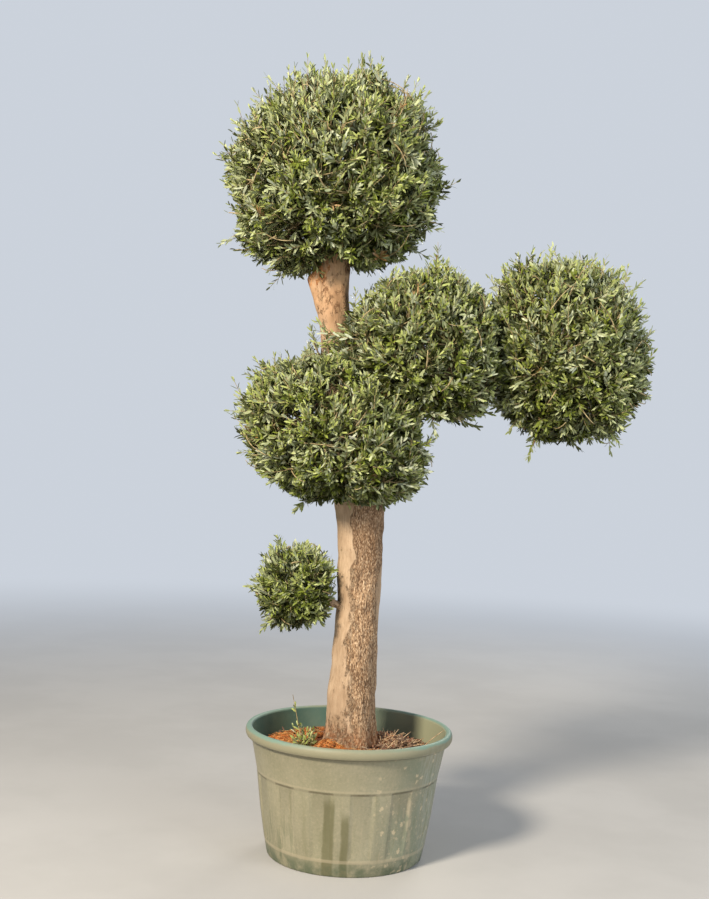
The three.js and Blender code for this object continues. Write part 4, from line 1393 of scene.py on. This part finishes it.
def make_sprigs(ball):
    """Leafy sprigs in front of the upper trunk, where two balls meet."""
    chance = np.random.default_rng(SPRIG_SEED)
    feet = np.array(SPRIG_FOOT) + SPRIG_FOOT_CHANCE * chance.normal(size=(SPRIGS, 3))
    tips = mix(*np.array(SPRIG_SPACE), chance.random((SPRIGS, 3)))
    kept = clear_of_limbs(tips) & clear_of_limbs(feet) & clear_of_limbs((feet + tips) / 2)
    twigs = chosen(arched(feet, tips, SPRIG_ARCH), kept)
    node = "foliage_" + ball["name"]
    stacked_piece("twigs_of_sprigs", [twig_mesh(twigs, *SPRIG_TUBE)], TWIG, node)
    leaves = leafy(ball, twigs, chance, *SPRIG_LEAVES)
    roots, along, _, lengths, _ = leaves
    kept = clear_of_limbs(roots) & clear_of_limbs(roots + along * lengths[:, None])
    curls = LEAF_CURL * chance.normal(size=kept.sum())
    leaf_piece("leaves_of_sprigs", node, OPEN_LEAF, chosen(leaves, kept), curls, LEAF_WIDTH)


def make_sucker():
    """A leafy shoot beside the trunk, with short bushy ones round its foot."""
    chance = np.random.default_rng(SUCKER_SEED)
    turns = np.arange(SUCKER_SHORTS) * GOLDEN_ANGLE
    rises = mix(*SHORT_RISE, chance.random(SUCKER_SHORTS))
    leans = mix(*SHORT_LEAN, chance.random(SUCKER_SHORTS))
    short_tips = np.stack([np.cos(turns) * leans + 0.008, 0.6 * np.sin(turns) * leans, rises], 1)
    short_tips = short_tips + SUCKER_FOOT
    stems, leaves = [], []
    for tips, pairs in ((np.array([SUCKER_TIP]), SUCKER_PAIRS), (short_tips, SHORT_PAIRS)):
        twigs = arched(np.repeat([SUCKER_FOOT], len(tips), axis=0), tips, 0.0)
        stems.append(twig_mesh(twigs, *SUCKER_TUBE))
        leaves.append(spray_leaves(twigs, np.repeat([pairs], len(tips), axis=0), chance, SUCKER_LEAF))
    stacked_piece("sucker_stems", stems, TWIG, "sucker")
    placed = [np.concatenate(part) for part in zip(*leaves)]
    count = len(placed[0])
    curls = SUCKER_CURL * chance.normal(size=count)
    kinds = chance.choice([FRESH, GREEN], size=count, p=[0.8, 0.2])
    leaf_piece("sucker_leaves", "sucker", OPEN_LEAF, (*placed, kinds), curls, SUCKER_LEAF_WIDTH)


# Litter on the soil
def on_soil(places):
    """Whether places are inside the pot and clear of the trunk."""
    away = np.hypot(places[:, 0], places[:, 1])
    return (away < SOIL_REACH) & (away > LITTER_CLEAR)


def scattered(count, chance, middle, spread):
    """Places on the soil round a middle."""
    places = np.array(middle) + np.array(spread) * chance.normal(size=(count * 5, 2))
    return places[on_soil(places)][:count]


def raised(places, lift):
    return np.column_stack([places, soil_height(places[:, 0], places[:, 1]) + lift])


def lying(count, chance, middle, spread, length, bow):
    """Straws that lie on the soil, as twigs."""
    middles = scattered(count, chance, middle, spread)
    turn = chance.random(len(middles)) * 2 * math.pi
    half = length * mix(0.55, 1.15, chance.random(len(middles))) / 2
    step = np.stack([np.cos(turn), np.sin(turn)], 1) * half[:, None]
    bent = half * bow * chance.normal(size=len(middles))
    aside = np.stack([-np.sin(turn), np.cos(turn)], 1) * bent[:, None]
    ends = [middles - step, middles + aside, middles + step]
    kept = on_soil(ends[0]) & on_soil(ends[1]) & on_soil(ends[2])
    return chosen([raised(end, LITTER_LIFT * chance.random(len(end)) ** 2 + 0.002) for end in ends], kept)


def make_leaning_straws():
    """Pale straws that stand up from the heap at the right, and one that leans on the rim."""
    chance = np.random.default_rng(LEANING_SEED)
    feet = raised(scattered(LEANING_STRAWS, chance, *LEANING_BED), -0.004)
    tips = feet + LEANING_RISE + chance.normal(size=feet.shape) * LEANING_CHANCE
    twigs = arched(np.vstack([feet, RIM_STRAW[0]]), np.vstack([tips, RIM_STRAW[1]]), LEANING_ARCH)
    stacked_piece("leaning_straws", [twig_mesh(twigs, *LEANING_TUBE)], PALE_STRAW, "soil")


def make_litter():
    """Orange-brown needles, pale straws and dry leaves that lie on the soil."""
    chance = np.random.default_rng(LITTER_SEED)
    for name, middle, spread, count, length, bow, radius, material in STRAWS:
        twigs = lying(count, chance, middle, spread, length, bow)
        stacked_piece(name, [twig_mesh(twigs, (radius, radius * 0.6), 3, 5)], material, "soil")
    places = np.vstack([scattered(count, chance, middle, spread) for middle, spread, count in DRY_LEAF_BEDS])
    count = len(places)
    roots = raised(places, 0.003 + 0.010 * chance.random(count))
    turn = chance.random(count) * 2 * math.pi
    along = unit(np.column_stack([np.cos(turn), np.sin(turn), 0.22 * chance.normal(size=count)]))
    faces = unit(np.column_stack([0.45 * chance.normal(size=(count, 2)), np.ones(count)]))
    faces = unit(faces - along * (along * faces).sum(1, keepdims=True))
    lengths = DRY_LEAF * mix(0.7, 1.25, chance.random(count))
    curls = DRY_LEAF_CURL * chance.normal(size=count)
    corners, triangles, across = leaf_mesh(
        OPEN_LEAF, roots, along, faces, lengths, curls, DRY_LEAF_WIDTH, DRY_LEAF_FOLD)
    inside = np.hypot(corners[:, 0], corners[:, 1]).reshape(count, -1).max(1) < SOIL_REACH + 0.005
    inside = np.repeat(inside, len(OPEN_LEAF[2]))
    kinds = np.repeat(chance.choice(3, size=count, p=[0.5, 0.3, 0.2]), len(OPEN_LEAF[2]))
    piece = joined_mesh("dry_leaves", corners, triangles[inside], kinds[inside], across)
    finish_piece(piece, DRY_LEAVES, "soil")


# Camera, light and floor
def make_camera():
    camera = bpy.data.cameras.new("picture_camera")
    camera.sensor_width = SENSOR
    camera.lens = SENSOR * FOCAL_LENGTH_PIXELS / PICTURE_HEIGHT
    camera.clip_end = CAMERA_REACH
    holder = bpy.data.objects.new("picture_camera", camera)
    holder.location = CAMERA_PLACE
    holder.rotation_euler = (math.pi / 2, -CAMERA_ROLL, 0)
    bpy.context.scene.collection.objects.link(holder)
    bpy.context.scene.camera = holder


def make_light(name, place, size, power, colour):
    light = bpy.data.lights.new(name, "AREA")
    light.shape = "DISK"
    light.size = size
    light.energy = power
    light.color = colour
    holder = bpy.data.objects.new(name, light)
    holder.location = place
    holder.rotation_euler = (Vector(LIT_MIDDLE) - Vector(place)).to_track_quat("-Z", "Y").to_euler()
    bpy.context.scene.collection.objects.link(holder)


def floor_material():
    """A pale floor that fades far off into the light of the studio behind it."""
    material, tree, shader = new_material("pale_floor", 0.9, 0.2)
    place = object_place(tree)
    attach(shader, {"Base Color": mottled(place, 0.8, paint(174, 172, 167), paint(180, 178, 173))})
    away = put(tree, "ShaderNodeVectorMath", {"operation": "LENGTH"}, {0: place}, "Value")
    glow = put(tree, "ShaderNodeEmission", None, {"Color": BACKDROP, "Strength": BACKDROP_SHOWN})
    faded = put(tree, "ShaderNodeMixShader", None,
                {0: rise(away, *FLOOR_FADE), 1: Field(shader.outputs[0]), 2: glow})
    attach(tree.nodes["Material Output"], {"Surface": faded})
    return material


def make_stage():
    floor = primitive("studio_floor", bpy.ops.mesh.primitive_circle_add, vertices=96, radius=FLOOR_RADIUS,
                      fill_type="NGON", location=(0, 0, 0))
    floor.data.materials.append(floor_material())
    world = bpy.data.worlds.new("studio")
    world.use_nodes = True
    seen = put(world.node_tree, "ShaderNodeLightPath", output="Is Camera Ray")
    attach(world.node_tree.nodes["Background"], {
        "Color": blend(seen, SKY_TINT, BACKDROP), "Strength": mix_range(seen, SKY_LIGHT, BACKDROP_SHOWN)})
    bpy.context.scene.world = world
    for light in LIGHTS:
        make_light(*light)
    bpy.context.scene.view_settings.view_transform = "Standard"


LEAVES = [
    leaf_material("leaf_fresh", paint(163, 172, 98), paint(170, 178, 130), paint(192, 198, 130)),
    leaf_material("leaf_green", paint(126, 138, 52), paint(150, 156, 108), paint(160, 168, 92)),
    leaf_material("leaf_grey", paint(168, 175, 130), paint(182, 188, 158), paint(196, 200, 160)),
    # The darkest kind: older leaves, and painted shade under and inside the balls
    leaf_material("leaf_deep", paint(58, 64, 10), paint(98, 104, 58), paint(94, 104, 38)),
    leaf_material("leaf_rusty", paint(148, 112, 64), paint(158, 130, 88), paint(162, 130, 84)),
]
TWIG = skin_material("twig_skin", (0.75, 0.3), 45.0, (paint(100, 82, 52), paint(182, 164, 120)), (0.48, 0.2),
                     (300.0, 0.0006), 0.4)
BARK = bark_material()
SOIL = skin_material("potting_soil", (0.95, 0.2), 70.0, (paint(70, 42, 26), paint(150, 88, 50)), (0.5, 0.15),
                     (140.0, 0.006))
NEEDLES, GOLD_STRAW, PALE_STRAW, *DRY_LEAVES = (
    skin_material(name, (0.85, 0.25), 45.0, (dark, light)) for name, dark, light in (
        ("dry_needles", paint(130, 74, 34), paint(230, 146, 78)),
        ("gold_straw", paint(170, 118, 62), paint(226, 178, 112)),
        ("pale_straw", paint(156, 126, 94), paint(214, 184, 148)),
        ("brown_leaves", paint(80, 60, 46), paint(124, 98, 78)),
        ("red_leaves", paint(94, 64, 48), paint(136, 98, 74)),
        ("tan_leaves", paint(136, 114, 90), paint(178, 156, 128)),
    ))
# Name, middle and spread over the soil, count, length, bow, radius, material
STRAWS = [
    ("dry_needles", (-0.17, -0.12), (0.15, 0.20), 2700, 0.080, 0.45, 0.0013, NEEDLES),
    ("gold_needles", (-0.16, -0.14), (0.13, 0.16), 650, 0.095, 0.50, 0.0019, GOLD_STRAW),
    ("foot_needles", (-0.07, -0.17), (0.07, 0.05), 500, 0.060, 0.45, 0.0014, NEEDLES),
    ("back_needles", (-0.05, 0.22), (0.20, 0.12), 500, 0.085, 0.40, 0.0012, NEEDLES),
    ("pale_straws", (0.21, -0.03), (0.09, 0.15), 700, 0.060, 0.25, 0.0014, PALE_STRAW),
]

make_camera()
make_stage()
make_pot()
make_soil()
make_trunk()
make_bough("right_bough", 28, 40, 0.35)
make_bough("low_bough", 16, 16, 0.3)
for ball in BALLS:
    make_ball(ball)
make_sprigs(BALLS[2])
make_sucker()
make_litter()
make_leaning_straws()
